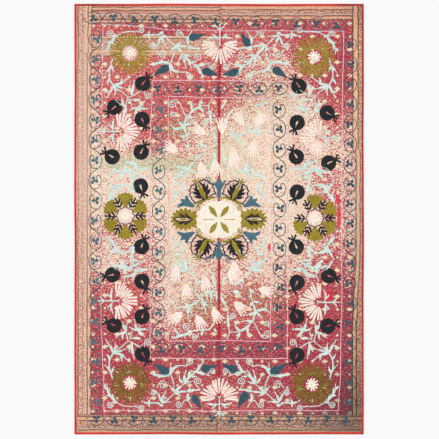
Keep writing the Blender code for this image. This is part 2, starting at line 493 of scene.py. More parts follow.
class Needlework:
    """Stitches of one piece of embroidery, gathered as they are sewn.

    Drawings come in centimetres and are sewn through the current placing.
    """

    # Template of one stitch: along, across and up, each as a share of its size
    OUTLINE = np.array(
        [(-0.5, 0.0), (-0.36, -0.5), (0.36, -0.5), (0.5, 0.0), (0.36, 0.5), (-0.36, 0.5)]
    )
    RIDGE = np.array([(-0.26, 0.0), (0.26, 0.0)])
    UNDER = np.array([(0, 5, 1), (1, 5, 4), (1, 4, 2), (2, 4, 3)])
    UPPER = np.array(
        [(0, 1, 6), (1, 2, 7), (1, 7, 6), (2, 3, 7), (3, 4, 7), (4, 5, 6), (4, 6, 7), (5, 0, 6)]
    )
    EDGE_RISE = 0.0001
    OVERLAP = 1.22

    def __init__(self, form: BlanketForm, seed: int, stitch: Stitch, placing: Placing) -> None:
        """Start an empty piece of work."""
        self.form = form
        self.stitch = stitch
        self.random = np.random.default_rng(seed)
        self.placing = placing
        self.sewn: list[Array] = []

    def row(self, drawing: Drawing, width: float | Sequence[float] | None = None, phase: float = 0.0) -> None:
        """Sew one row of stitches along a drawn line.

        Args:
            drawing: The line's points in centimetres.
            width: Width of the stitches in millimetres, alike or spread evenly along the line,
                or None for their usual width.
            phase: How far the row's stitches are shifted, as a share of one stitch.
        """
        spots = self.placing.put(drawing) * CM
        reach = run_along(spots)
        total = reach[-1]
        if total < 0.3 * self.stitch.length:
            return
        count = max(1, round(total / self.stitch.length))
        marks = np.linspace(0.0, total, count + 1)
        if phase and count > 2:
            inner = marks[1:-1] + (phase - 0.5) * total / count * 0.8
            marks = np.concatenate([[0.0], inner, [total]])
        x = np.interp(marks, reach, spots[:, 0])
        y = np.interp(marks, reach, spots[:, 1])
        widths = [self.stitch.spacing * 1.3 / MM] if width is None else np.atleast_1d(width) * 1.1
        middles = (marks[1:] + marks[:-1]) / 2 / total
        across = np.interp(middles, np.linspace(0.0, 1.0, len(widths)), widths) * MM
        tone = self.random.normal(0.0, 0.10)
        self.sewn.append(np.column_stack([
            (x[1:] + x[:-1]) / 2,
            (y[1:] + y[:-1]) / 2,
            np.arctan2(np.diff(y), np.diff(x)),
            np.hypot(np.diff(x), np.diff(y)) * self.OVERLAP,
            across * self.random.uniform(0.92, 1.08, count),
            tone + self.random.normal(0.0, 0.22, count),
        ]))

    def stroke(self, drawing: Drawing, widths: Sequence[float]) -> None:
        """Fill a stroke with rows that run along it.

        Args:
            drawing: The stroke's middle line in centimetres.
            widths: Its width in millimetres at places spread evenly along the line.
        """
        line = np.asarray(drawing, float)
        reach = run_along(line)
        if reach[-1] < 0.2:
            return
        marks = np.linspace(0.0, reach[-1], max(6, int(reach[-1] * 2.5)))
        spots = np.column_stack([np.interp(marks, reach, values) for values in line.T])
        lead = np.gradient(spots, axis=0)
        lead /= np.maximum(np.hypot(lead[:, 0], lead[:, 1]), 1e-9)[:, None]
        side = np.column_stack([-lead[:, 1], lead[:, 0]])
        wide = np.interp(marks / reach[-1], np.linspace(0.0, 1.0, len(widths)), widths)
        count = max(1, round(max(wide) * MM / self.stitch.spacing))
        step = max(wide) / count
        for index in range(count):
            shift = (index - (count - 1) / 2) * step
            keep = abs(shift) + 0.3 * step <= wide / 2
            across = np.full(len(wide), 1.15 * step)
            if index == count // 2:
                keep[:] = True
                across = np.clip(wide, 0.5 * step, 1.15 * step)
            if keep.sum() < 3:
                continue
            offset = spots + side * (shift * MM / CM)
            self.row(offset[keep], width=across[keep], phase=0.5 * (index % 2))

    def fill(self, outlines: Sequence[Array], angle: float = 0.0) -> None:
        """Fill outlines with straight rows; an outline inside another is left open.

        Args:
            outlines: Closed outlines in centimetres.
            angle: Direction of the rows in degrees, in the drawing's own frame.
        """
        turn = math.radians(angle)
        spin = np.array([[math.cos(turn), -math.sin(turn)], [math.sin(turn), math.cos(turn)]])
        turned = [np.asarray(outline, float) @ spin for outline in outlines]
        low = min(outline[:, 1].min() for outline in turned)
        high = max(outline[:, 1].max() for outline in turned)
        spacing = self.stitch.spacing / CM / self.placing.scale
        count = max(1, round((high - low) / spacing))
        for index in range(count):
            level = low + (index + 0.5) * (high - low) / count
            crossings: list[float] = []
            for outline in turned:
                after = np.roll(outline, -1, axis=0)
                crossed = (outline[:, 1] > level) != (after[:, 1] > level)
                start, end = outline[crossed], after[crossed]
                share = (level - start[:, 1]) / (end[:, 1] - start[:, 1])
                crossings.extend(start[:, 0] + share * (end[:, 0] - start[:, 0]))
            crossings.sort()
            for left, right in zip(crossings[::2], crossings[1::2]):
                if right - left > 0.15:
                    ends = np.array([(left, level), (right, level)]) @ spin.T
                    self.row(ends, phase=0.5 * (index % 2))

    def finished(self, name: str, thread: "Thread", lift: float = 0.0) -> None:
        """Make the gathered stitches into one piece, resting on the cloth.

        Args:
            name: The piece's name.
            thread: The thread's finish.
            lift: How far the work stands above other work below it, in metres.
        """
        x, y, turn, length, width, tone = np.vstack(self.sewn).T
        count = len(x)
        shape = np.vstack([self.OUTLINE, self.RIDGE])
        along = shape[:, 0][None, :] * length[:, None]
        across = shape[:, 1][None, :] * width[:, None]
        cosine, sine = np.cos(turn)[:, None], np.sin(turn)[:, None]
        place_x = x[:, None] + along * cosine - across * sine
        place_y = y[:, None] + along * sine + across * cosine
        ground = self.form.face_height(place_x, place_y) + lift
        rise = np.full((count, 8), self.EDGE_RISE)
        rise[:, 6:] = self.stitch.height * self.random.uniform(0.85, 1.15, count)[:, None]
        rise[:, 6] -= 0.12 * MM
        points = np.stack([place_x, place_y, ground + rise], axis=-1).reshape(-1, 3)
        first = (np.arange(count) * 8)[:, None, None]
        under = (self.UNDER[None] + first).reshape(-1, 3)
        upper = (self.UPPER[None] + first).reshape(-1, 3)
        piece = new_piece(name, points, [under, upper])
        low = points[:, :2].min(axis=0)
        size = np.maximum(points[:, :2].max(axis=0) - low, 1e-6)
        flat = 0.01 + 0.98 * (points[:, :2] - low) / size
        set_flat_map(piece, flat[np.vstack([under, upper]).ravel()])
        set_values(piece, "tone", np.repeat(tone, 8))
        set_values(piece, "ply", ((along + 0.8 * across) / MM).ravel())
        piece.data.materials.append(thread.material())
        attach(piece, "root")
        LOG.info("%s: %d stitches", name, count)


@dataclass(frozen=True)
class Thread:
    """Finish of an embroidery thread: its colour and how far single stitches differ from it."""

    name: str
    colour: str
    other: str
    unevenness: float = 0.35

    @cache
    def material(self) -> bpy.types.Material:
        """Make the thread's material once, with each stitch a little lighter or darker."""
        pattern = Pattern(f"{self.name}_thread")
        tone = pattern.attribute("tone")
        share = (tone + pattern.noise(14.0)).scaled(0.9, -0.05, clamp=True)
        colour = pattern.mixed(share, self.colour, self.other).shaded(tone.scaled(self.unevenness, 1.0))
        twist = (pattern.attribute("ply") * 2.4).maths("SINE")
        fibre = pattern.noise(900.0, 1.0)
        relief = (twist.scaled(0.3, 0.5) + fibre * 0.4, 0.25, 0.0003)
        return pattern.finish(colour, fibre.scaled(0.2, 0.70), relief=relief)


MINT = Thread("mint", "C3DBD1", "DCECE5", 0.25)
CREAM = Thread("cream", "F4E6D2", "FBF1E3", 0.2)
OLIVE = Thread("olive", "8E7B24", "A69233")
DARK_OLIVE = Thread("dark_olive", "675712", "7F6C1F")
BLACK = Thread("black", "1B1E21", "25292C", 0.25)
TEAL = Thread("teal", "3E6471", "5A7D87")
DEEP_TEAL = Thread("deep_teal", "2E4B58", "40616C")
SLATE = Thread("slate", "38474F", "4F616A")
LILAC = Thread("lilac", "D9B4BF", "E8CAD2")
PINK = Thread("pink", "E0A4AA", "ECC0C2")
BLUSH = Thread("blush", "F6DCCF", "FDEDE3", 0.2)
SHELL = Thread("shell", "E8B9A8", "F6D8C8", 0.3)


# Soft-edged patches of the print that time has changed, and of painted shade: middle and reach
# along X and Y in centimetres, and how strong the change is
Wash = tuple[float, float, float, float, float]
WASHES: dict[str, tuple[Wash, ...]] = {
    # The red has faded to cream
    "fade": (
        (12, 24, 30, 34, 0.6), (-2, 36, 30, 20, 0.28), (30, 58, 20, 22, 0.36), (-50, 22, 24, 20, 0.58),
        (-34, -3, 28, 30, 0.48), (10, -10, 34, 30, 0.52), (42, 12, 20, 34, 0.4), (-16, -38, 18, 30, 0.42),
        (12, -40, 26, 14, 0.2), (-60, 60, 30, 40, 0.18), (0, 84, 60, 14, 0.22), (-10, -88, 40, 16, 0.1),
        (48, -8, 14, 14, 0.2), (-70, 28, 10, 64, 0.62), (70, 10, 10, 50, 0.55), (56, 34, 10, 10, 0.35),
        (30, 72, 26, 24, 0.28), (-31, -50, 10, 22, 0.34), (-56, -18, 12, 14, 0.28), (36, -32, 30, 12, 0.2),
        (56, 46, 12, 10, 0.22), (-5, -20, 13, 40, -0.16), (-56, -27, 12, 8, 0.1), (-2, -82, 60, 12, -0.12),
        (58, -84, 24, 30, -0.16), (-26, 14, 12, 20, 0.2), (-60, -26, 8, 8, 0.14), (-57, 4, 8, 9, 0.12),
        (44, 57, 11, 11, 0.24), (31, 8, 9, 44, 0.14), (-22, 110, 28, 8, 0.35), (17, -40, 9, 9, -0.3),
        (30, 67, 18, 12, -0.12), (60, 90, 20, 20, -0.26), (-13, 50, 10, 8, 0.2), (-56, -40, 12, 20, 0.1),
    ),
    # Green flecks show through
    "green": (
        (-20, 47, 11, 5, 0.5), (-48, 29, 18, 4, 0.8), (-20, 28, 18, 4, 0.8), (-8, -44, 14, 10, 0.5),
        (6, 34, 12, 12, 0.35), (20, -42, 12, 8, 0.35), (-24, -22, 10, 7, 0.3), (24, 62, 18, 12, 0.25),
    ),
    # The dye has kept its depth
    "deep": (
        (62, 84, 30, 26, 0.9), (62, -80, 40, 46, 1.0), (-60, -70, 36, 40, 0.8), (-30, 98, 14, 5, 0.9),
        (0, -70, 40, 18, 0.7), (60, -30, 22, 50, 0.5),
    ),
    # Darker towards the right and bottom edges: partly painted shade of light that falls off there,
    # and partly darker cloth
    "dim": (
        (76, -104, 24, 26, 0.38), (0, -112, 95, 9, 0.2), (77, -55, 10, 52, 0.24), (14, -92, 60, 22, 0.12),
        (76, 12, 8, 40, 0.1), (76, 108, 12, 10, 0.24), (-4, 106, 90, 12, 0.06), (58, -90, 22, 26, 0.14),
        (-30, -104, 26, 10, 0.08),
    ),
    # The red under the print shows fresh
    "fresh": (
        (56.2, -39.6, 2.8, 3.4, 1.0), (26.0, -14.6, 0.9, 2.4, 1.0), (59.4, 14.2, 1.3, 1.6, 1.0),
        (61.3, 10.4, 1.2, 3.0, 1.0), (62.5, 4.0, 1.1, 4.6, 1.0), (62.4, -2.4, 1.1, 3.6, 1.0),
    ),
}


def washed(patches: Iterable[Wash], x: Array, y: Array) -> Array:
    """Add up patches of one kind at places given in metres, from 0 to 1."""
    total = np.zeros(len(x))
    for middle_x, middle_y, reach_x, reach_y, amount in patches:
        away = ((x / CM - middle_x) / reach_x) ** 2 + ((y / CM - middle_y) / reach_y) ** 2
        total = total + amount * np.exp(-(away**1.3))
    return np.clip(total, 0.0, 1.0)


# Stripes from the edge inwards: start in millimetres, colour, and kind: 0 leaves the ground
# bare, 0.5 is a figured stripe, and a plain one has no number
Stripes = tuple[tuple[Any, ...], ...]
BARE = "C8505A"
LEFT_STRIPES: Stripes = (
    (0, "E59F8D"), (15.5, "6A5548"), (20.5, "EBAA97", 0.5), (38, "8E7460"), (41, "EBAA97", 0.5),
    (57, "F8CFB8"), (62, "4A3830"), (68, "F4BE98"), (81.5, "4A3830"), (87.5, BARE, 0),
)
RIGHT_STRIPES: Stripes = (
    (0, "CF8A74", 0.5), (14.5, "463832"), (20.5, "F4BC92"), (35.5, "463832"), (41.5, BARE, 0),
)
RIGHT_UPPER_STRIPES: Stripes = (
    (0, "C08A6C", 0.5), (26.5, "463832"), (32, "F4BC92"), (53, "463832"), (59, BARE, 0),
)
TOP_LEFT_STRIPES: Stripes = (
    (0, "D98C7A"), (14.5, "523E36"), (19, "F0B48E"), (31, "523E36"), (36, "D98C7A"),
    (53, "DCC0B0"), (57, "C8806E", 0.5), (77, "5E4840"), (83, "F0B48E"), (95, "5E4840"),
    (99.5, BARE, 0), (163, "5E4840"), (167, "F0B893"), (178, "5E4840"), (182, "D58C78", 0.5),
    (236, "5E4840"), (240, "F0B893"), (252, "8A6A5C"), (256, "E8AE90"), (266, "5E4840"),
    (270, BARE, 0),
)
TOP_RIGHT_STRIPES: Stripes = (
    (0, "D98C7A"), (15, "F0B48E"), (27, "523E36"), (32, "CE8571", 0.5), (52, "D9B5A4"),
    (58, "523E36"), (63, "D98C7A"), (68, "F0B48E"), (79, "5E4840"), (84, BARE, 0),
)
BOTTOM_STRIPES: Stripes = (
    (0, "F0B48E"), (20, "523E36"), (25, "CDB8A6"), (31, "CC8470", 0.5), (69, "463832"),
    (75, "F2B88F"), (89, "5E4840"), (93, "E0A088"), (97, "5E4840"), (101, BARE, 0),
)
LEFT_UPPER_STRIPES: Stripes = LEFT_STRIPES[:6] + (
    (62, "F3BA92"), (67.5, "4A3830"), (72.5, "F4BC92"), (86.5, "4A3830"), (92, BARE, 0),
)


@dataclass(frozen=True)
class PrintedCotton:
    """Finish of one cloth width: a washed print of diamonds and striped borders.

    The print's repeat starts at (first_x, first_y) and steps by pitch_x and pitch_y. Past
    upper_start the stripes along the edge are the upper ones.
    """

    name: str
    side: int
    half_width: float
    half_length: float
    first_x: float
    first_y: float
    pitch_x: float
    pitch_y: float
    edge_stripes: Stripes
    top_stripes: Stripes
    upper_stripes: Stripes
    upper_start: float
    edge_slant: float = 0.0
    bottom_stripes: Stripes = BOTTOM_STRIPES

    def material(self) -> bpy.types.Material:
        """Make the printed cotton's material."""
        pattern = Pattern(self.name)
        x, y = pattern.x, pattern.y
        streaks = pattern.flat_noise(0.62, 145.0, 2.5, 0.6)
        grain = pattern.flat_noise(1.0, 150.0, 2.0, 0.6)
        blotch = pattern.flat_noise(0.7, 48.0)
        colour = self.ground(pattern, streaks, grain, blotch)
        colour = self.repeat(pattern, colour, grain, blotch)
        green = pattern.attribute("green") * grain.step(0.49, 0.57) * streaks.step(0.40, 0.48)
        colour = colour.covered(green.scaled(1.5, clamp=True), "84C07C")
        colour = colour.covered(pattern.attribute("fresh").step(0.35, 0.65) * 0.9, "D81F38")
        colour = self.borders(pattern, colour, grain)
        # painted shade: the print is darkened towards the right and bottom edges, partly as painted falloff
        # of the light and partly as darker cloth
        value = (streaks + grain).scaled(0.16, 0.84) * pattern.attribute("dim").scaled(-1.0, 1.0)
        under = pattern.mixed(grain, "B04553", "C9656A").shaded(value)
        colour = under.covered(pattern.z.step(0.0009, 0.0013), colour.shaded(value))
        quilting = y.wave(0.006).step(0.2, 0.9) * x.wave(0.009).step(-0.4, 0.5)
        relief = (quilting * 0.5 + grain, 0.4, 0.0006)
        return pattern.finish(colour, grain.scaled(0.12, 0.82), 0.10, relief)

    def ground(self, pattern: Pattern, streaks: Value, grain: Value, blotch: Value) -> Value:
        """Give the plain ground: red cotton, worn to cream in specks where it has faded.

        Args:
            pattern: The material's pattern.
            streaks: Fine uneven values drawn out across the blanket.
            grain: Fine uneven values.
            blotch: Coarser uneven values.

        Returns:
            The ground's colour.
        """
        deep = pattern.attribute("deep")
        tint = pattern.flat_noise(0.6, 105.0, 2.0, 0.6)
        specks = pattern.mixed(deep, "F4C8AE", "DE9490")
        red = pattern.mixed(deep, "CB4A56", "AD2844").covered(streaks.step(0.52, 0.62) * 0.76, specks)
        red = red.covered(grain.step(0.48, 0.38) * 0.80, "7D1B34")
        red = red.covered(tint.step(0.56, 0.64) * 0.55, "A98560")
        cream = pattern.mixed(blotch.step(0.42, 0.62), "FBE8D4", "F4D6BE")
        cream = cream.covered(grain.step(0.45, 0.37) * 0.60, "C79C80")
        cream = cream.covered(tint.step(0.54, 0.62) * 0.72, "D97C80")
        cream = cream.covered(tint.step(0.45, 0.37) * 0.70, "BFCBB0")
        wear = (streaks * 1.9 + grain * 1.5 + blotch * 1.1).scaled(1.0, -2.25)
        wear = wear + pattern.attribute("fade").scaled(1.05, -0.52)
        return red.covered(wear.step(-0.14, 0.20), cream)

    def repeat(self, pattern: Pattern, colour: Value, grain: Value, blotch: Value) -> Value:
        """Print the repeat of cream diamonds and ringed dots, each in a chequered place."""
        column = pattern.x + (blotch - 0.5) * 0.010
        column = column.scaled(1.0 / self.pitch_x, -self.first_x / self.pitch_x)
        line = pattern.y + (grain - 0.5) * 0.008
        line = line.scaled(1.0 / self.pitch_y, -self.first_y / self.pitch_y)
        whole_column, whole_line = column.maths("ROUND"), line.maths("ROUND")
        dotted = (whole_column + whole_line).maths("PINGPONG", 1.0)
        bare = 1.0 - dotted
        away_x = (column - whole_column).maths("ABSOLUTE") * self.pitch_x
        away_y = (line - whole_line).maths("ABSOLUTE") * self.pitch_y
        diamond = away_x * (1.0 / 0.0175) + away_y * (1.0 / 0.0115)
        ring = (away_x.maths("POWER", 2.0) + away_y.maths("POWER", 2.0)).maths("SQRT")
        for shape, there, start, end, strength, code in (
            (diamond, bare, 1.35, 1.15, 0.45, "A8705A"),
            (diamond, bare, 1.05, 0.85, 0.90, "F4DCC0"),
            (diamond, bare, 0.62, 0.42, 0.7, "EED9A0"),
            (ring, dotted, 0.0118, 0.0095, 0.6, "A5694F"),
            (ring, dotted, 0.0072, 0.0052, 0.85, "F6E6D0"),
        ):
            colour = colour.covered(shape.step(start, end) * there * strength, code)
        return colour

    def borders(self, pattern: Pattern, ground: Value, grain: Value) -> Value:
        """Print the striped borders along the width's outer edge and its two ends."""
        x, y = pattern.x, pattern.y
        sway = (pattern.flat_noise(1.0, 16.0, 3.0) - 0.5) * 0.011
        slant = y.step(-0.1, -0.6) * -self.edge_slant
        from_edge = self.half_width - x * float(self.side) + sway + slant
        upper = y.step(self.upper_start - 0.002, self.upper_start + 0.002)
        warp = pattern.flat_noise(1.0, 55.0, 1.0)
        measures = (x * (1.0 / 0.0120) + warp * 4.5, y * (1.0 / 0.0140) - warp * 4.0)
        fold_x, fold_y = ((measure.maths("FRACT") - 0.5).maths("ABSOLUTE") for measure in measures)
        lozenge = fold_x + fold_y + grain.scaled(2.6, -1.3)
        rubbed = pattern.flat_noise(1.0, 120.0, 2.0, 0.6)
        washed_out = pattern.attribute("fade").scaled(0.40, clamp=True)
        for measure, stripes, share in (
            (self.half_length - y + sway, self.top_stripes, 1.0),
            (from_edge, self.edge_stripes, 1.0 - upper),
            (from_edge, self.upper_stripes, upper),
            (y + self.half_length + sway, self.bottom_stripes, 1.0),
        ):
            colour, kind = pattern.stripes(measure, 0.4, stripes)
            figured = kind.step(0.3, 0.4) * kind.step(0.8, 0.6)
            colour = colour.covered(figured * lozenge.step(0.62, 0.74) * 0.85, "6E5C3A")
            colour = colour.covered(figured * lozenge.step(0.34, 0.22) * 0.95, "FFE6CC")
            colour = colour.covered(rubbed.step(0.53, 0.66) * 0.55, "F3C7B0")
            colour = colour.covered(rubbed.step(0.46, 0.34) * 0.55, "A84743")
            colour = colour.covered(washed_out, "F4D5C6").shaded(0.92)
            ground = ground.covered(kind.step(0.1, 0.3) * share, colour)
        return ground


def closed_sheet(name: str, x: Array, y: Array, top: Array, bottom: Array, way: int = 1) -> tuple[Any, Array]:
    """Make a closed sheet from a grid, with its face, its back and its walls mapped apart.

    Args:
        name: The piece's name.
        x: X of each point of the grid.
        y: Y of each point of the grid.
        top: Height of its face at each point.
        bottom: Height of its back at each point.
        way: -1 where X falls along the grid's lines, and 1 where it rises.

    Returns:
        The piece and its points.
    """
    lines, columns = x.shape
    count = lines * columns
    grid = np.arange(count).reshape(lines, columns)
    points = np.vstack([np.column_stack([x.ravel(), y.ravel(), level.ravel()]) for level in (top, bottom)])
    corners = [grid[:-1, :-1], grid[:-1, 1:], grid[1:, 1:], grid[1:, :-1]]
    face = np.stack(corners, axis=-1).reshape(-1, 4)[:, ::way]
    rim = np.concatenate([grid[0, :-1], grid[:-1, -1], grid[-1, :0:-1], grid[:0:-1, 0]])
    after = np.roll(rim, -1)
    wall = np.column_stack([rim + count, after + count, after, rim])[:, ::way]
    back = face[:, ::-1] + count
    piece = new_piece(name, points, [back, wall, face])
    piece.data.shade_smooth()
    low = points[:, :2].min(axis=0)
    share = (points[:, :2] - low) / (points[:, :2].max(axis=0) - low)
    upper_map = np.column_stack([0.02 + 0.455 * share[:, 0], 0.02 + 0.96 * share[:, 1]])
    under_map = upper_map + np.array([0.505, 0.0])
    outward = np.where(share < 0.5, -0.01, 0.01)
    wall_map = upper_map[wall % count]
    wall_map = np.where((wall >= count)[..., None], wall_map + outward[wall % count], wall_map)
    maps = (under_map[back], wall_map, upper_map[face])
    set_flat_map(piece, np.vstack([places.reshape(-1, 2) for places in maps]))
    return piece, points


class ClothWidths:
    """The two printed and quilted cloth widths."""

    COLUMNS = 44
    LINES_A_ROW = 3

    def __init__(self, form: BlanketForm) -> None:
        """Keep the blanket's form and the print of each side."""
        self.form = form
        size = (form.half_width, form.half_length)
        left = (-0.3405, 0.6702, 0.0630, 0.0666, LEFT_STRIPES, TOP_LEFT_STRIPES, LEFT_UPPER_STRIPES, 0.861)
        right = (0.6129, -0.8052, 0.0648, 0.0674, RIGHT_STRIPES, TOP_RIGHT_STRIPES, RIGHT_UPPER_STRIPES)
        self.prints = {
            -1: PrintedCotton("printed_cotton_left", -1, *size, *left),
            1: PrintedCotton("printed_cotton_right", 1, *size, *right, 0.358, 0.019),
        }

    def plan(self, side: int) -> tuple[Array, Array, Array]:
        """Lay out one width's grid of points.

        Args:
            side: -1 for the left width and 1 for the right one.

        Returns:
            The X and Y of each point, and whether the binding grips it.
        """
        form = self.form
        rim, leaves, full = form.gripped_lines(form.half_width)
        reach = np.concatenate([np.linspace(form.inner_edge, full, self.COLUMNS), [leaves, rim]])
        end_rim, end_leaves, end_full = form.gripped_lines(form.half_length)
        rows = np.linspace(-end_full, end_full, form.row_count * self.LINES_A_ROW + 1)
        lines = np.concatenate([[-end_rim, -end_leaves], rows, [end_leaves, end_rim]])
        across, y = np.meshgrid(reach, lines)
        outward = (across - form.inner_edge) / (full - form.inner_edge)
        stray = form.edge_wander(y, form.half_length, 1.0 + side)
        x = side * across + side * np.minimum(outward, 1.0) * stray
        x = x + np.maximum(1.0 - outward, 0.0) * form.seam_line(y)
        loose = 1.0 - form.endward(y)
        y = form.strayed(x, y)
        inner_rows = (np.abs(lines) < end_full - 0.001)[:, None]
        y = y + np.where(inner_rows, form.row_wander * np.sin(5.0 * x + 5.4 * y) * loose, 0.0)
        for line in (0, -1):
            x[line, -1] -= side * form.corner_radius
            y[line, -1] -= np.sign(y[line, -1]) * form.corner_radius
        gripped = (across > full + 0.0001) | ((np.abs(lines) > end_full + 0.0001)[:, None])
        return x, y, gripped

    def build(self, side: int) -> None:
        """Make one cloth width as a closed quilted sheet and dress it."""
        form = self.form
        x, y, gripped = self.plan(side)
        top = np.where(gripped, form.grip_top, form.face_height(x, y))
        bottom = np.where(gripped, form.grip_bottom, 0.0)
        name = "printed_width_right" if side > 0 else "printed_width_left"
        piece, points = closed_sheet(name, x, y, top, bottom, side)
        for kind, patches in WASHES.items():
            set_values(piece, kind, washed(patches, points[:, 0], points[:, 1]))
        piece.data.materials.append(self.prints[side].material())
        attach(piece, "root")
        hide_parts("cloth_right" if side > 0 else "cloth_left")
        width = form.half_width - form.inner_edge
        2.0 * form.half_length
        LOG.info("%s: %d points", name, len(points))


@dataclass(frozen=True)
class PlainCotton:
    """Finish of plain dyed cotton: its colours, its darker patches with painted shade in the binding's
    creases, and its weave.

    Past printed_from from the blanket's middle, if it is given, the borders' print covers it.
    """

    name: str
    colour: str
    lighter: str
    darker: str
    worn: str
    printed_from: float = 0.0

    def material(self) -> bpy.types.Material:
        """Make the plain cotton's material."""
        pattern = Pattern(self.name)
        x, y = pattern.x, pattern.y
        fine = pattern.noise(260.0, 2.0, 0.6)
        colour = pattern.mixed(pattern.noise(7.0, 3.0).step(0.40, 0.62), self.colour, self.lighter)
        # the dark mask holds darker patches and, on the binding, painted shade in the troughs of its creases
        colour = colour.covered(pattern.attribute("dark").scaled(0.9, clamp=True), self.darker)
        colour = colour.covered(fine.step(0.60, 0.74) * 0.35, self.worn)
        if self.printed_from:
            away = y.maths("ABSOLUTE")
            printed = pattern.mixed(fine.step(0.42, 0.6), "B9705F", "EDB698")
            printed = printed.covered(away.wave(0.027).step(0.72, 0.9) * 0.8, "5F5048")
            colour = colour.covered(away.step(self.printed_from, self.printed_from + 0.004), printed)
        weave = ((x + y).wave(0.0022) * (x - y).wave(0.0022)).scaled(0.3, 0.5)
        colour = colour.shaded(fine.scaled(0.3, 0.85))
        return pattern.finish(colour, fine.scaled(0.15, 0.78), 0.12, (weave + fine, 0.3, 0.0004))


RED_BINDING = PlainCotton("red_binding_cotton", "C8211A", "D92E21", "82120F", "E56A5A")
CRIMSON = PlainCotton("crimson_cotton", "BE0D2E", "C9163A", "8C0A22", "D8566A", 1.005)


@dataclass
class CentreStrip:
    """The crimson strip at the join, printed over at its two ends."""

    form: BlanketForm
    columns: int = 5
    lines: int = 461
    sway: float = 0.0002

    def build(self) -> None:
        """Make the strip as a slightly crowned closed sheet."""
        form = self.form
        across = np.linspace(-1.0, 1.0, self.columns)
        rim, leaves, full = form.gripped_lines(form.half_length)
        lines = np.concatenate([[-rim, -leaves], np.linspace(-full, full, self.lines), [leaves, rim]])
        share, y = np.meshgrid(across, lines)
        sway = self.sway * np.sin(70.0 * y) * (np.abs(share) < 0.9)
        x = share * form.strip_width / 2 + form.seam_line(y) + sway
        y = form.strayed(x, y)
        gripped = np.repeat((np.abs(lines) > full + 0.0001)[:, None], len(across), axis=1)
        crown = form.strip_height + self.sway * (1.0 - share**2) * (1.0 + 0.6 * np.sin(260.0 * y))
        top = np.where(gripped, form.grip_top, crown)
        bottom = np.where(gripped, form.grip_bottom, 0.0)
        piece, points = closed_sheet("centre_strip", x, y, top, bottom)
        dark = 0.5 * np.sin(31.0 * points[:, 1]) * np.sin(7.0 * points[:, 1])
        set_values(piece, "dark", np.clip(dark, 0, 1))
        piece.data.materials.append(CRIMSON.material())
        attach(piece, "root")
        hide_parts("seam_strip")
        2.0 * form.half_length


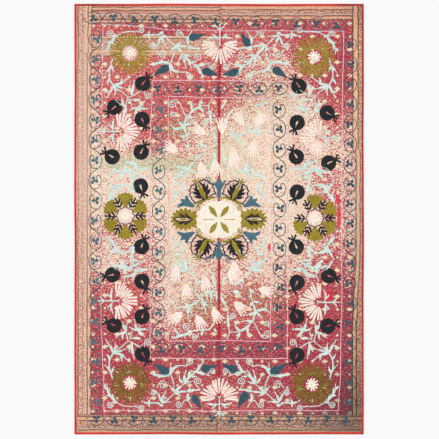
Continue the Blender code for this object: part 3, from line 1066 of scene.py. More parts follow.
@dataclass
class Bindings:
    """The red strips folded over the blanket's four edges."""

    form: BlanketForm
    step: float = 0.010
    pucker: float = 0.00035
    dark_runs: tuple[tuple[str, float, float, float], ...] = (
        ("top", -0.665, 0.045, 0.9),
        ("top", -0.52, 0.10, 0.25),
        ("top", 0.675, 0.075, 0.85),
        ("right", 0.85, 0.40, 0.45),
        ("right", -0.2, 0.5, 0.28),
        ("left", 1.0, 0.12, 0.2),
    )

    def section(self) -> Array:
        """Draw the folded strip's rounded section as (distance in from the edge, height)."""
        form = self.form
        width, height, cloth = form.binding_width, form.binding_height, form.binding_cloth
        middle = height / 2
        outer = [
            (width, height - 0.0004), (width - 0.0005, height), (width * 0.55, height + 0.0001),
            (0.0016, height - 0.0001), (0.0005, height - 0.0006), (0.0, middle),
            (0.0005, 0.0006), (0.0016, 0.0), (width * 0.55, 0.0), (width - 0.0005, 0.0), (width, 0.0003),
        ]
        inner = [(width, cloth), (cloth + 0.0004, cloth), (cloth, middle), (cloth + 0.0004, height - cloth),
                 (width, height - cloth)]
        return np.array(outer + inner)

    def build(self, where: str) -> bpy.types.Object:
        """Make one edge's binding.

        Args:
            where: left, right, bottom or top.

        Returns:
            The dressed binding.
        """
        form = self.form
        section = self.section()
        long_edge = where in ("left", "right")
        way = 1.0 if where in ("right", "top") else -1.0
        run = form.half_length if long_edge else form.half_width - form.binding_width - form.gap
        straight = run - form.corner_radius if long_edge else run
        count = round(2.0 * straight / self.step)
        stations = np.linspace(-straight, straight, count + 1)
        if long_edge:
            rounding = np.array([run - form.corner_radius * share for share in (0.6, 0.3, 0.1, 0.0)])
            stations = np.concatenate([-rounding[::-1], stations, rounding])
        inset, height = section.T
        along = stations[:, None]
        turn = 2.0 * math.pi * along
        crease = np.sin(turn / 0.031 + 2.0 * np.sin(turn / 0.17)) * np.sin(turn / 0.083 + way)
        upper = np.clip((height - 0.0016) / 0.0016, 0.0, 1.0)
        inner_edge = np.clip((inset - 0.006) / 0.004, 0.0, 1.0)
        rise = height + self.pucker * 0.8 * crease * upper * (0.3 + 0.7 * np.sin(np.pi * inset / 0.010))
        setting = inset + self.pucker * 2.0 * crease * inner_edge * upper
        if long_edge:
            short = np.maximum(form.corner_radius - (run - np.abs(along)), 0.0)
            pull = form.corner_radius - np.sqrt(np.maximum(form.corner_radius**2 - short**2, 0.0))
            stray = form.edge_wander(along, form.half_length, 1.0 + way)
            reach = form.half_width + stray - setting - pull * (inset < form.binding_width * 0.9)
            x, y = way * reach, np.broadcast_to(along, reach.shape)
        else:
            stray = form.edge_wander(along, form.half_width, 2.0 + way)
            y = way * (form.half_length + stray - setting)
            x = np.broadcast_to(along, y.shape)
        rise = np.broadcast_to(rise, x.shape)
        points = np.stack([x, y, rise], axis=-1).reshape(-1, 3)
        lines, around = x.shape
        grid = np.arange(lines * around).reshape(lines, around)
        turned = np.roll(grid, -1, axis=1)
        quads = np.stack([grid[:-1], turned[:-1], turned[1:], grid[1:]], axis=-1).reshape(-1, 4)
        keep_turn = (way > 0) == long_edge
        quads = quads[:, ::-1] if keep_turn else quads
        caps = [grid[:1], grid[-1:, ::-1]]
        caps = caps if keep_turn else [cap[:, ::-1] for cap in caps]
        piece = new_piece(f"binding_cloth_{where}", points, [quads, *caps])
        piece.data.shade_smooth()
        self.flatten(piece, section, stations, quads, caps, around)
        middle_run = stations.repeat(around)
        dark = np.zeros(len(points))
        for edge, centre, reach_along, amount in self.dark_runs:
            if edge == where:
                dark += amount * np.exp(-(((middle_run - centre) / reach_along) ** 4))
        # painted shade: the binding is darkened where its creases dip
        dark += 0.25 * np.clip(-crease, 0.0, 1.0).repeat(around, axis=1).ravel()
        set_values(piece, "dark", np.clip(dark, 0.0, 1.0))
        piece.data.materials.append(RED_BINDING.material())
        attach(piece, "root")
        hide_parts(f"binding_{where}")
        2.0 * run
        LOG.info("binding_cloth_%s: %d points", where, len(points))
        return piece

    @staticmethod
    def flatten(
        piece: bpy.types.Object, section: Array, stations: Array, quads: Array, caps: list[Array], around: int
    ) -> None:
        """Map the strip as one long band, cut at its inner edge, with its two ends apart."""
        steps = np.hypot(*(np.roll(section, -1, axis=0) - section).T)
        reach = np.concatenate([[0.0], np.cumsum(steps)])
        reach = reach / reach[-1]
        length = (stations - stations[0]) / (stations[-1] - stations[0])
        row, column = quads // around, quads % around
        closing = (column == 0) & (column.max(axis=1, keepdims=True) == around - 1)
        across = np.where(closing, reach[-1], reach[column])
        band = np.stack([0.03 + 0.94 * length[row], 0.02 + 0.8 * across], axis=-1).reshape(-1, 2)
        size = section.max(axis=0) - section.min(axis=0)
        cap_map = (section - section.min(axis=0)) / size
        ends = [0.88 * np.array([0.0, 1.0]) + 0.1 * cap_map[cap[0] % around] * np.array([0.4, 0.9]) + offset
                for cap, offset in zip(caps, (np.array([0.1, 0.0]), np.array([0.3, 0.0])))]
        set_flat_map(piece, np.vstack([band, *ends]))


@dataclass
class Studio:
    """Plain floor, soft light and the camera straight above the blanket."""

    view_width: float = 2.276
    height: float = 7.0
    centre: Spot = (0.0022, -0.0022)
    sensor: float = 36.0
    ambient: float = 0.60
    lamp: float = 1.90

    def camera(self) -> None:
        """Look straight down with the blanket filling the frame as in the photo."""
        data = bpy.data.cameras.new("overhead_camera")
        camera = bpy.data.objects.new("overhead_camera", data)
        data.sensor_width = self.sensor
        data.lens = self.sensor * self.height / self.view_width
        camera.location = (*self.centre, self.height + 0.003)
        bpy.context.scene.collection.objects.link(camera)
        bpy.context.scene.camera = camera

    def floor(self) -> None:
        """Lay the pale floor under the blanket."""
        bpy.ops.object.select_all(action="DESELECT")
        bpy.ops.mesh.primitive_plane_add(size=30.0, location=(0.0, 0.0, -0.0002))
        floor = bpy.context.object
        floor.name = "studio_floor"
        pattern = Pattern("pale_floor")
        colour = pattern.mixed(pattern.noise(1.5, 1.0), "F2F2F2", "F3F3F3")
        floor.data.materials.append(pattern.finish(colour, 0.9, specular=0.0))

    def lights(self) -> None:
        """Light the blanket evenly from all round, with one broad soft lamp from the upper left."""
        world = bpy.data.worlds.new("soft_studio")
        bpy.context.scene.world = world
        world.use_nodes = True
        background = world.node_tree.nodes["Background"]
        background.inputs["Color"].default_value = (1.0, 1.0, 1.0, 1.0)
        background.inputs["Strength"].default_value = self.ambient
        data = bpy.data.lights.new("soft_lamp", "SUN")
        data.angle = math.radians(35.0)
        data.energy = self.lamp
        lamp = bpy.data.objects.new("soft_lamp", data)
        lamp.location = (-2.0, 2.6, 4.0)
        bpy.context.scene.collection.objects.link(lamp)
        lamp.rotation_mode = "QUATERNION"
        lamp.rotation_quaternion = (-lamp.location.normalized()).to_track_quat("-Z", "Y")
        bpy.context.scene.view_settings.view_transform = "Standard"

    def build(self) -> None:
        """Set up the camera, the floor and the lights."""
        self.camera()
        self.floor()
        self.lights()


@dataclass
class Workbasket:
    """Where each piece of work comes from, with a seed that makes it uneven in its own way."""

    form: BlanketForm
    seed: int = 100

    def work(self, *placing: Any, stitch: Stitch = Stitch.CHAIN) -> Needlework:
        """Start a piece of needlework with a seed of its own, at a placing's X, Y, turn and so on."""
        self.seed += 1
        return Needlework(self.form, self.seed, stitch, Placing(*placing))


def covers(outline: Array, spot: Spot) -> bool:
    """Tell whether an outline goes round a spot."""
    after = np.roll(outline, -1, axis=0)
    crossed = (outline[:, 1] > spot[1]) != (after[:, 1] > spot[1])
    start, end = outline[crossed], after[crossed]
    reach = start[:, 0] + (spot[1] - start[:, 1]) / (end[:, 1] - start[:, 1]) * (end[:, 0] - start[:, 0])
    return int((reach > spot[0]).sum()) % 2 == 1


def polar(reach: float, turn: float) -> Spot:
    """Give the place at a distance and an angle in degrees."""
    return (reach * math.cos(math.radians(turn)), reach * math.sin(math.radians(turn)))


@dataclass
class Pomegranates:
    """The black fruits down both sides, each with its crown's direction in degrees."""

    left: tuple[Turned, ...] = (
        (-39.6, 70.2, 52), (-54.2, 58, 218), (-39.9, 51.7, 290), (-55.4, 32.3, 148),
        (-40.4, 34.7, 62), (-40.7, 17.1, 288), (-40.2, -14.3, 70), (-55.2, -28.8, 192),
        (-39.9, -32.3, 296), (-39.9, -50.6, 66), (-54.4, -55.1, 156), (-39.6, -69.9, 300),
    )
    right: tuple[Turned, ...] = (
        (41.3, 68.9, 122), (56, 55.1, 330), (40.5, 50.1, 250), (40.1, 32.3, 122),
        (56.8, 29.1, 24), (40.5, 14, 248), (40.1, -14.5, 112), (56.8, -29.4, 342),
        (40.4, -32.8, 246), (40.4, -50.6, 116), (56.3, -55.4, 14), (40.4, -70.5, 248),
    )
    radius: float = 3.8
    rings: int = 10

    def fruit(self, work: Needlework) -> None:
        """Sew one fruit: rings about an open seed slit, and a crown of three prongs."""
        slit = smooth_curve(
            [(-1.1, 0.0), (-0.3, 0.62), (1.0, 0.50), (2.6, 0.0), (1.0, -0.50), (-0.3, -0.62)], closed=True
        )
        for ring in range(self.rings):
            share = ring / self.rings
            circle = arc((0.6 * ring / self.rings, 0.0), self.radius * (1.0 - share), 0.0, 360.0, 48)
            open_places = np.array([covers(slit, spot) for spot in circle])
            if not open_places.any():
                work.row(circle, phase=0.5 * (ring % 2))
                continue
            start = int(np.argmax(open_places))
            rolled = np.roll(circle[:-1], -start, axis=0)
            run = rolled[~np.roll(open_places[:-1], -start)]
            breaks = np.nonzero(np.hypot(*np.diff(run, axis=0).T) > 0.8)[0] + 1
            for part in np.split(run, breaks):
                if len(part) > 3:
                    work.row(part)
        work.row(slit, width=3.0)
        work.stroke([(3.3, 0.0), (4.4, 0.0), (6.6, 0.05)], (14.0, 11.0, 10.0))
        for way in (-1.0, 1.0):
            prong = smooth_curve([(4.0, 0.3 * way), (4.9, 1.1 * way), (6.1, 2.2 * way)])
            work.row(prong, width=(9.0, 9.5, 10.0))

    def build(self, basket: Workbasket) -> None:
        """Sew all the fruits, one piece each."""
        for side, fruits in (("left", self.left), ("right", self.right)):
            for number, (x, y, turn) in enumerate(fruits, start=1):
                work = basket.work(x, y, turn)
                self.fruit(work)
                work.finished(f"pomegranate_{side}_{number}", BLACK)


@dataclass
class CornerRosettes:
    """The round olive flowers in the corners, with a white star in the middle."""

    places: tuple[tuple[str, float, float], ...] = (
        ("top_left", -46.2, 86), ("top_right", 49.4, 84),
        ("bottom_left", -46.2, -85), ("bottom_right", 48.1, -85.8),
    )
    rays: int = 35
    inner: float = 4.5
    outer: float = 10.7
    star_rays: int = 11
    star_reach: float = 3.2
    disc_rings: int = 11
    disc_reach: float = 4.2

    def build(self, basket: Workbasket) -> None:
        """Sew the four flowers."""
        for corner, x, y in self.places:
            work = basket.work(x, y)
            for ray in range(self.rays):
                turn = 360.0 * (ray + work.random.uniform(-0.15, 0.15)) / self.rays
                reach = self.outer * work.random.uniform(0.94, 1.04)
                lean = turn + work.random.uniform(-1.5, 1.5)
                line = [polar(self.inner, turn), polar((self.inner + reach) / 2, turn), polar(reach, lean)]
                work.row(line, width=(6.6, 7.8, 8.8, 8.0))
            for reach in (self.inner, self.inner + 0.5):
                work.row(arc((0.0, 0.0), reach, 0.0, 360.0, 60))
            work.finished(f"corner_rosette_{corner}", OLIVE if y > 0 else DARK_OLIVE)
            star = basket.work(x, y)
            for ray in range(self.star_rays):
                turn = 360.0 * ray / self.star_rays + star.random.uniform(-4.0, 4.0)
                reach = self.star_reach * star.random.uniform(0.9, 1.08)
                star.row([polar(0.3, turn), polar(2.0, turn), polar(reach, turn)], width=(5.0, 8.0, 9.0))
            star.finished(f"rosette_star_{corner}", CREAM)
            if corner == "top_left":
                disc = basket.work(x, y)
                for ring in range(self.disc_rings):
                    circle = arc((0.0, 0.0), self.disc_reach - 0.38 * ring, 0.0, 360.0, 40)
                    disc.row(circle, phase=0.5 * (ring % 2))
                disc.finished(f"rosette_disc_{corner}", PINK, lift=-0.0005)


@dataclass
class SideRosettes:
    """The wide flowers at both sides: olive petals, black sprigs and a lobed white middle."""

    half_petal: Spots = (
        (4.7, 8), (6.4, 11), (8.0, 15), (9.3, 21), (10.4, 26), (10.5, 21), (11.7, 18), (11.0, 13),
        (12.2, 9), (11.3, 4), (12.4, 0),
    )
    lobes: int = 8
    rays: int = 16
    middle: float = 4.3

    def petals(self, work: Needlework, turns: Sequence[float]) -> None:
        """Sew the olive petals."""
        rim = [polar(reach, -turn) for reach, turn in self.half_petal]
        outline = np.array(rim + [(x, -y) for x, y in rim[-2::-1]])
        spot = work.placing
        for turn in turns:
            work.placing = Placing(spot.x, spot.y, turn)
            work.fill([outline])
            work.row(np.vstack([outline, outline[:1]]), width=3.2)
        work.placing = spot

    def sprigs(self, work: Needlework, turns: Sequence[float]) -> None:
        """Sew the black sprigs between the petals."""
        spot = work.placing
        for turn in turns:
            work.placing = Placing(spot.x, spot.y, turn)
            work.stroke([(4.9, 0.0), (7.0, 0.05), (10.8, 0.0)], (5.0, 6.0, 8.0, 7.0))
            for reach, length in ((5.5, 2.6), (7.5, 2.5)):
                for way in (-1.0, 1.0):
                    tip = (reach + 0.72 * length, way * 0.74 * length)
                    barb = [(reach, 0.1 * way), (reach + 0.3 * length, way * 0.44 * length), tip]
                    work.row(barb, width=(7.0, 9.0, 7.5))
        work.placing = spot

    def build(self, basket: Workbasket) -> None:
        """Sew both flowers."""
        for side, x, y, petals in (
            ("left", -48.6, 1.6, (90, 30, -30, -90, -150, 150)),
            ("right", 49.7, 0.5, (90, 30, -30, -90, -150)),
        ):
            work = basket.work(x, y)
            self.petals(work, petals)
            work.finished(f"side_rosette_petals_{side}", OLIVE)
            work = basket.work(x, y)
            self.sprigs(work, (60, 0, -60, -120, 180, 120))
            rim = [polar(self.middle * (1.03 + 0.07 * math.cos(math.radians(self.lobes * turn))), turn)
                   for turn in range(0, 361, 5)]
            work.row(rim, width=3.6)
            work.finished(f"side_rosette_sprigs_{side}", BLACK, lift=0.0006)
            for finish, shift, widths in ((CREAM, 0.0, (5.0, 9.0, 13.0)), (PINK, 0.5, (2.0, 3.0, 4.0))):
                work = basket.work(x, y)
                for ray in range(self.rays):
                    turn = 360.0 / self.rays * (ray + shift)
                    start = 0.4 if shift == 0.0 else 1.8
                    line = [polar(reach, turn) for reach in (start, 2.4, self.middle - 0.3)]
                    work.stroke(line, widths)
                work.finished(f"side_rosette_{finish.name}_{side}", finish)


@dataclass
class Carnations:
    """Fans of long pale fingers on a mint stem with crossed leaves."""

    places: tuple[tuple[str, float, float, float], ...] = (
        ("upper_left", -52.2, 45.4, 0), ("lower_left", -53, -42.4, 0),
        ("upper_right", 52.6, 42.2, 180), ("lower_right", 52.3, -43.1, 180),
        ("top", 0.4, 91.2, -90), ("bottom", 0.2, -93.2, 90),
    )
    fingers: int = 17
    spread: float = 93.0

    def fan(self, work: Needlework) -> None:
        """Sew the fingers in uneven bunches."""
        for finger in range(self.fingers):
            share = finger / (self.fingers - 1)
            turn = self.spread * (2.0 * share - 1.0) + work.random.uniform(-1.5, 1.5)
            bunch = 0.6 * math.cos(math.radians(turn) * 5.0) - 1.1 * abs(math.sin(math.radians(turn)))
            reach = 10.3 + bunch + work.random.uniform(-0.5, 0.5)
            start = 3.0 + 0.8 * (finger % 3 == 1) - 0.6 * abs(math.sin(math.radians(turn)))
            lean = turn + work.random.uniform(-2.0, 2.0)
            line = [polar(start, turn), polar((start + reach) / 2, turn + 1.0), polar(reach, lean)]
            work.row(smooth_curve(line), width=(4.4, 7.8, 10.0, 9.4))

    def stem(self, work: Needlework) -> None:
        """Sew the stem, its crossed leaves and the fork at its foot."""
        work.stroke([(1.0, 0.0), (-3.6, 0.1), (-8.6, 0.0)], (6.0, 6.0, 5.0))
        for way in (-1.0, 1.0):
            for line, widths in (
                (((-2.6, 0.2), (-3.0, 3.4), (-2.2, 6.6)), (6.0, 9.0, 6.0)),
                (((-2.7, 1.6), (-4.2, 2.8), (-4.8, 4.0)), (5.0, 7.0, 5.0)),
                (((-6.6, 0.1), (-7.8, 1.0), (-8.8, 2.2)), (5.0, 6.0, 5.0)),
            ):
                work.stroke(smooth_curve(np.array(line) * (1.0, way)), widths)
            work.stroke([(0.6, 0.1 * way), (1.5, 0.8 * way)], (4.0, 4.0))
        work.stroke([(-8.4, 0.0), (-10.2, 0.1)], (5.0, 5.0))

    def build(self, basket: Workbasket) -> None:
        """Sew the six flowers."""
        for name, x, y, turn in self.places:
            for part, finish in ((self.fan, BLUSH), (self.stem, MINT)):
                work = basket.work(x, y, turn)
                part(work)
                kind = "fan" if finish is BLUSH else "stem"
                work.finished(f"carnation_{kind}_{name}", finish)


@dataclass
class Botehs:
    """Teal teardrops above and below the middle field: head and tip of each."""

    places: tuple[tuple[float, float, float, float, bool], ...] = (
        (-28, -78.9, -33.8, -74.7, True), (-7.3, -77.6, -1, -76, False),
        (-12.6, -93, -9.5, -98.3, True), (28.5, -79, 34.9, -74.9, False),
        (7.6, -77.9, 1.5, -75.2, True), (13.4, -91.7, 9.8, -97.9, False),
        (-28, 78.1, -33.8, 74.4, False), (-6.8, 76.6, -0.5, 74.4, True),
        (-13.7, 94.3, -7.6, 95.8, False), (14.8, 91.1, 11.5, 96.6, True),
        (8.4, 76, 1.8, 74.7, False), (29.6, 77.1, 35.1, 73.3, True),
    )
    length: float = 6.9
    outline: Spots = (
        (-2, 0.1), (-1.5, -1.4), (0, -2), (2.2, -1.7), (4.6, -0.9), (6.9, 0.1),
        (5.2, 0.5), (3, 1.1), (1, 1.9), (-1.1, 1.6),
    )

    def build(self, basket: Workbasket) -> None:
        """Sew each teardrop as a piece."""
        outline = smooth_curve(self.outline, closed=True)
        for number, (x, y, tip_x, tip_y, flip) in enumerate(self.places, start=1):
            work = basket.work()
            length = math.hypot(tip_x - x, tip_y - y)
            turn = math.degrees(math.atan2(tip_y - y, tip_x - x))
            work.placing = Placing(x, y, turn, flip, length / self.length)
            work.fill([outline], 8.0)
            work.row(outline, width=3.4)
            work.finished(f"boteh_{number}", DEEP_TEAL)


@dataclass
class TrefoilBorders:
    """The looping vine with trefoils round the outer border and round the middle field."""

    # Each straight run: its two ends, how many leaves it has, and its first side
    runs: tuple[tuple[str, Spot, Spot, int, int], ...] = (
        ("outer_top", (-70.6, 104.6), (66.6, 100.4), 13, -1),
        ("outer_left", (-64.2, 98.4), (-64.2, -100.2), 19, 1),
        ("outer_right", (68.2, 95.6), (67.6, -100.4), 19, -1),
        ("outer_bottom", (-69, -104), (71.4, -103.8), 14, 1),
        ("inner_top", (-36.8, 67.3), (36.2, 67.6), 7, 1),
        ("inner_left", (-31.2, 62), (-31.4, -64.4), 12, 1),
        ("inner_right", (31.2, 62), (31.5, -71.4), 13, -1),
        ("inner_bottom", (-35.4, -67.6), (27, -67.6), 6, -1),
    )
    sway: float = 3.3
    # The vine's path and each curl beside a leaf, as shares of the pitch and of the sway
    loop: Spots = ((-0.5, 0), (-0.3, 0.75), (0, 1), (0.3, 0.75))
    curl: Spots = (
        (0.42, 0.35), (0.36, -0.5), (0.05, -0.95), (-0.24, -0.7), (-0.24, -0.25), (-0.06, -0.22),
    )

    def leaf(self, work: Needlework) -> None:
        """Sew one trefoil."""
        for turn, length in ((0.0, 2.9), (112.0, 2.4), (-112.0, 2.4)):
            lobe = leaf((-0.3, 0.0), (length, 0.0), 1.6, 0.6)
            work.fill([Placing(0.0, 0.0, turn).put(lobe)], turn)

    def build(self, basket: Workbasket) -> None:
        """Sew the trefoils and the vine of each run."""
        for name, first, last, count, side in self.runs:
            start, end = np.array(first), np.array(last)
            length = float(np.hypot(*(end - start)))
            turn = math.degrees(math.atan2(end[1] - start[1], end[0] - start[0]))
            pitch = length / count
            leaves = basket.work()
            vine = basket.work(stitch=Stitch.LINE)
            vine.placing = Placing(start[0], start[1], turn)
            path: list[Array] = []
            for index in range(count):
                along = (index + 0.5) * pitch
                drift = leaves.random.uniform(-0.4, 0.4)
                lead = (start + (end - start) * along / length) + np.array([drift, 0.0])
                across = math.radians(turn + 90.0)
                lead = lead + side * 0.8 * np.array([math.cos(across), math.sin(across)])
                tilt = leaves.random.uniform(-14.0, 14.0)
                facing = turn + (90.0 if side < 0 else -90.0) + tilt
                leaves.placing = Placing(lead[0], lead[1], facing, scale=0.9)
                self.leaf(leaves)
                step = np.array([pitch, side * self.sway])
                path.append(np.array(self.loop) * step + (along, 0.0))
                vine.row(smooth_curve(np.array(self.curl) * step + (along, 0.0)), width=4.0)
                side = -side
            path.append(np.array([[length, 0.0]]))
            vine.row(smooth_curve(np.vstack(path)), width=4.2)
            leaves.finished(f"trefoils_{name}", TEAL if name.endswith("left") else DEEP_TEAL)
            vine.finished(f"trefoil_vine_{name}", SLATE)


@dataclass
class FrameLines:
    """The thin lilac lines that frame the fields, corner by corner."""

    frames: tuple[tuple[str, Spots], ...] = (
        ("outer", (
            (-60.2, 100.9), (-49.8, 100.6), (-38.8, 99.6), (-25, 98), (20, 97.6), (64.6, 97.4),
            (64, 60), (63.5, 20), (63.7, -30), (63, -78), (61.9, -99.3),
            (25, -99), (0, -99.8), (-24, -98.9), (-59.6, -99.6), (-60, -80),
            (-61, -60), (-61.3, -20), (-61.2, 20), (-60.8, 60),
        )),
        ("middle", (
            (-34.6, 71.8), (0, 71.9), (36.2, 71), (35.7, 40), (35.6, 0), (35.5, -40),
            (35.4, -72.2), (0, -72.5), (-35.6, -72.2), (-35.8, -40), (-35.8, 0), (-35.6, 40),
        )),
        ("inner", (
            (-26.4, 63.6), (0, 63), (27, 62.5), (27.2, 20), (27, -20), (26.7, -63.4),
            (0, -63), (-26.3, -63.4), (-26.2, -20), (-26.3, 20),
        )),
    )

    def build(self, basket: Workbasket) -> None:
        """Sew each frame, with a slight sway between its points."""
        for name, knots in self.frames:
            work = basket.work(stitch=Stitch.LINE)
            for start, end in zip(knots, knots[1:] + knots[:1]):
                line = np.linspace(start, end, 12)
                swing = 0.12 * np.sin(np.linspace(0.0, 2.0 * math.pi, 12))
                aside = np.array([-(end[1] - start[1]), end[0] - start[0]])
                aside = aside / np.hypot(*aside)
                work.row(line + swing[:, None] * aside, width=3.6)
            work.finished(f"frame_line_{name}", LILAC)


# Vines in one quarter of the blanket, measured from its middle, all in millimetres: width at
# both ends, then X and Y of each point
Branch = tuple[int, ...]
# Curled ends: X and Y of the middle, radius, and X and Y of where the tail goes
Curl = tuple[int, int, int, int, int]
OUTER_VINES: tuple[Branch, ...] = (
    (9, 6, 438, 580, 452, 550, 458, 518), (7, 6, 439, 578, 466, 572, 482, 560),
    (8, 7, 438, 580, 410, 572, 380, 574), (8, 6, 438, 582, 416, 594, 401, 614), (7, 5, 436, 576, 422, 554),
    (9, 6, 502, 588, 500, 556, 482, 526), (8, 6, 506, 576, 516, 552, 519, 528),
    (9, 6, 503, 588, 530, 596, 557, 618), (7, 6, 516, 592, 521, 624), (4, 4, 502, 588, 496, 610, 490, 632),
    (9, 7, 423, 619, 454, 618, 482, 622), (6, 9, 482, 622, 474, 602, 471, 581),
    (4, 4, 489, 632, 454, 646, 420, 668), (4, 4, 490, 632, 522, 660, 556, 680),
    (9, 8, 472, 642, 466, 680, 458, 723), (5, 5, 474, 650, 482, 674, 484, 689),
    (9, 6, 570, 694, 586, 662, 609, 625), (6, 5, 596, 656, 624, 670), (8, 6, 564, 689, 560, 662, 562, 640),
    (7, 6, 570, 694, 534, 684, 496, 674), (9, 6, 568, 694, 530, 704, 504, 722, 482, 740),
    (7, 5, 526, 708, 524, 734), (5, 5, 570, 694, 588, 731, 588, 778, 579, 804, 573, 832),
    (7, 6, 589, 729, 598, 712, 603, 699), (7, 6, 580, 798, 572, 780, 566, 764),
    (7, 6, 581, 796, 596, 776, 613, 755), (7, 6, 600, 90, 582, 106, 568, 123),
    (6, 5, 586, 118, 592, 136, 602, 156), (9, 6, 571, 161, 548, 149, 524, 134),
    (8, 6, 570, 162, 534, 176, 496, 182), (9, 6, 571, 161, 584, 184, 594, 208),
    (9, 6, 457, 140, 470, 188, 476, 214, 476, 252), (8, 6, 474, 216, 446, 216, 414, 220),
    (7, 6, 472, 224, 450, 240, 434, 257), (9, 7, 434, 257, 410, 259, 382, 268),
    (9, 6, 434, 257, 452, 286, 466, 328), (6, 5, 446, 274, 474, 304), (9, 5, 529, 232, 504, 270, 513, 322),
    (8, 5, 562, 239, 528, 252, 506, 280), (9, 6, 314, 950, 300, 920, 288, 890),
    (8, 6, 310, 952, 284, 946, 255, 949), (7, 4, 314, 944, 328, 910, 346, 886, 364, 884),
    (9, 6, 300, 968, 332, 958), (5, 5, 320, 954, 352, 954, 380, 956), (8, 5, 380, 956, 374, 936, 366, 926),
    (6, 5, 380, 956, 376, 976), (7, 5, 378, 956, 400, 952, 420, 944), (4, 4, 238, 898, 264, 922, 286, 942),
    (4, 5, 238, 898, 244, 856, 260, 808), (8, 6, 239, 896, 254, 878, 266, 862),
    (8, 6, 236, 900, 220, 910, 202, 918), (7, 7, 234, 900, 200, 896, 168, 896),
    (10, 6, 168, 896, 136, 886, 100, 886), (8, 5, 168, 896, 158, 872), (9, 7, 236, 896, 210, 872, 187, 850),
    (9, 6, 187, 848, 188, 816, 175, 782), (8, 6, 164, 826, 158, 802, 147, 782),
    (8, 6, 186, 850, 166, 848, 148, 842), (8, 6, 194, 852, 208, 832, 217, 808),
    (9, 8, 186, 848, 156, 814, 124, 794), (8, 6, 146, 816, 120, 816), (10, 6, 124, 794, 102, 766, 82, 734),
    (7, 5, 104, 768, 108, 752), (9, 6, 122, 794, 84, 800, 49, 812), (8, 5, 124, 792, 146, 790),
    (9, 9, 264, 808, 304, 812, 346, 806, 370, 800), (6, 5, 300, 812, 326, 824),
    (8, 6, 264, 806, 260, 776, 260, 742), (9, 5, 264, 808, 246, 774, 214, 760, 178, 762, 154, 754),
    (9, 6, 166, 904, 168, 936, 146, 976), (4, 4, 169, 942, 186, 940),
)
OUTER_CURLS: tuple[Curl, ...] = (
    (383, 642, 19, 402, 664), (419, 982, 16, 446, 976), (587, 962, 17, 560, 946), (352, 899, 14, 334, 894),
    (304, 860, 22, 336, 876), (113, 842, 21, 104, 884), (36, 790, 17, 60, 806), (217, 960, 18, 186, 940),
    (154, 739, 17, 176, 762),
)
INNER_VINES: tuple[Branch, ...] = (
    (6, 9, 13, 379, 18, 416, 39, 453, 47, 496), (9, 5, 47, 496, 45, 527, 52, 564, 55, 589, 39, 622),
    (4, 4, 55, 589, 80, 586, 105, 585), (9, 5, 108, 583, 88, 558, 80, 528),
    (8, 7, 108, 584, 102, 606, 92, 624), (8, 7, 108, 582, 140, 562, 177, 530),
    (8, 7, 146, 560, 150, 588, 154, 614), (9, 6, 177, 530, 146, 526, 113, 530),
    (4, 4, 178, 532, 198, 572, 216, 606, 236, 620), (7, 7, 177, 528, 184, 502, 190, 480),
    (9, 6, 190, 482, 156, 494, 124, 498), (9, 6, 190, 482, 208, 500, 224, 518),
    (8, 7, 190, 480, 182, 454, 177, 429), (9, 5, 174, 430, 162, 450, 154, 466),
    (8, 6, 177, 428, 200, 428, 222, 438), (4, 4, 174, 428, 164, 390, 158, 356),
    (8, 5, 192, 476, 220, 468, 244, 460, 246, 434), (8, 5, 230, 464, 250, 476, 260, 490),
    (9, 8, 72, 372, 96, 380, 116, 379), (9, 5, 74, 374, 102, 394, 136, 420), (8, 6, 158, 366, 189, 392),
)
INNER_CURLS: tuple[Curl, ...] = (
    (71, 501, 17, 52, 518), (248, 596, 21, 236, 620), (246, 544, 16, 256, 562),
)
SIDE_VINES: tuple[Branch, ...] = (
    (9, 6, 596, 100, 565, 134, 570, 177), (9, 7, 565, 134, 539, 169, 488, 177), (8, 6, 488, 172, 457, 126),
    (9, 7, 539, 212, 488, 255, 427, 273), (9, 6, 488, 255, 440, 234, 393, 212), (8, 6, 427, 270, 369, 255),
    (8, 6, 504, 300, 466, 286, 446, 250), (7, 6, 588, 216, 564, 256, 530, 274),
    (9, 6, 242, 90, 226, 136, 190, 172), (8, 6, 228, 134, 252, 166), (9, 6, 248, 204, 196, 228, 148, 214),
    (8, 6, 204, 226, 218, 262),
)
LOWER_VINES: tuple[Branch, ...] = (
    (8, 6, 166, 267, 204, 266, 248, 283), (8, 6, 164, 264, 200, 246, 244, 234),
    (9, 6, 166, 267, 144, 250, 126, 240), (9, 5, 168, 264, 180, 226, 184, 188),
    (8, 7, 164, 270, 142, 290, 126, 310), (7, 5, 126, 310, 122, 332, 120, 354),
    (7, 6, 126, 310, 98, 330, 68, 348), (8, 6, 206, 182, 196, 146, 186, 114),
    (8, 6, 206, 184, 230, 186, 250, 180), (6, 8, 16, 368, 24, 324, 42, 282, 56, 256),
)
FEATHERED_VINES: tuple[Branch, ...] = (
    (10, 5, 253, 618, 217, 607, 179, 596, 142, 583, 84, 575, 52, 570, 31, 543),
    (8, 6, 214, 606, 226, 586, 234, 566), (8, 6, 86, 574, 94, 592, 95, 604), (8, 6, 26, 570, 9, 590),
    (8, 6, 163, 453, 200, 456, 237, 459), (9, 6, 164, 452, 184, 436, 200, 426),
    (8, 7, 162, 452, 126, 434, 95, 406), (8, 5, 108, 414, 122, 386, 132, 364),
    (9, 5, 94, 408, 84, 446, 64, 496), (7, 5, 84, 436, 66, 448, 48, 456),
    (9, 6, 162, 456, 168, 486, 164, 518), (6, 5, 160, 468, 144, 498), (8, 7, 80, 379, 44, 376, 12, 379),
    (7, 6, 74, 380, 66, 400, 64, 420), (7, 6, 46, 378, 42, 404, 44, 428), (7, 6, 18, 380, 12, 404, 14, 430),
    (8, 6, 260, 416, 248, 436, 237, 453),
)
FEATHERED_CURLS: tuple[Curl, ...] = (
    (171, 558, 21, 144, 582), (131, 609, 16, 110, 590),
)
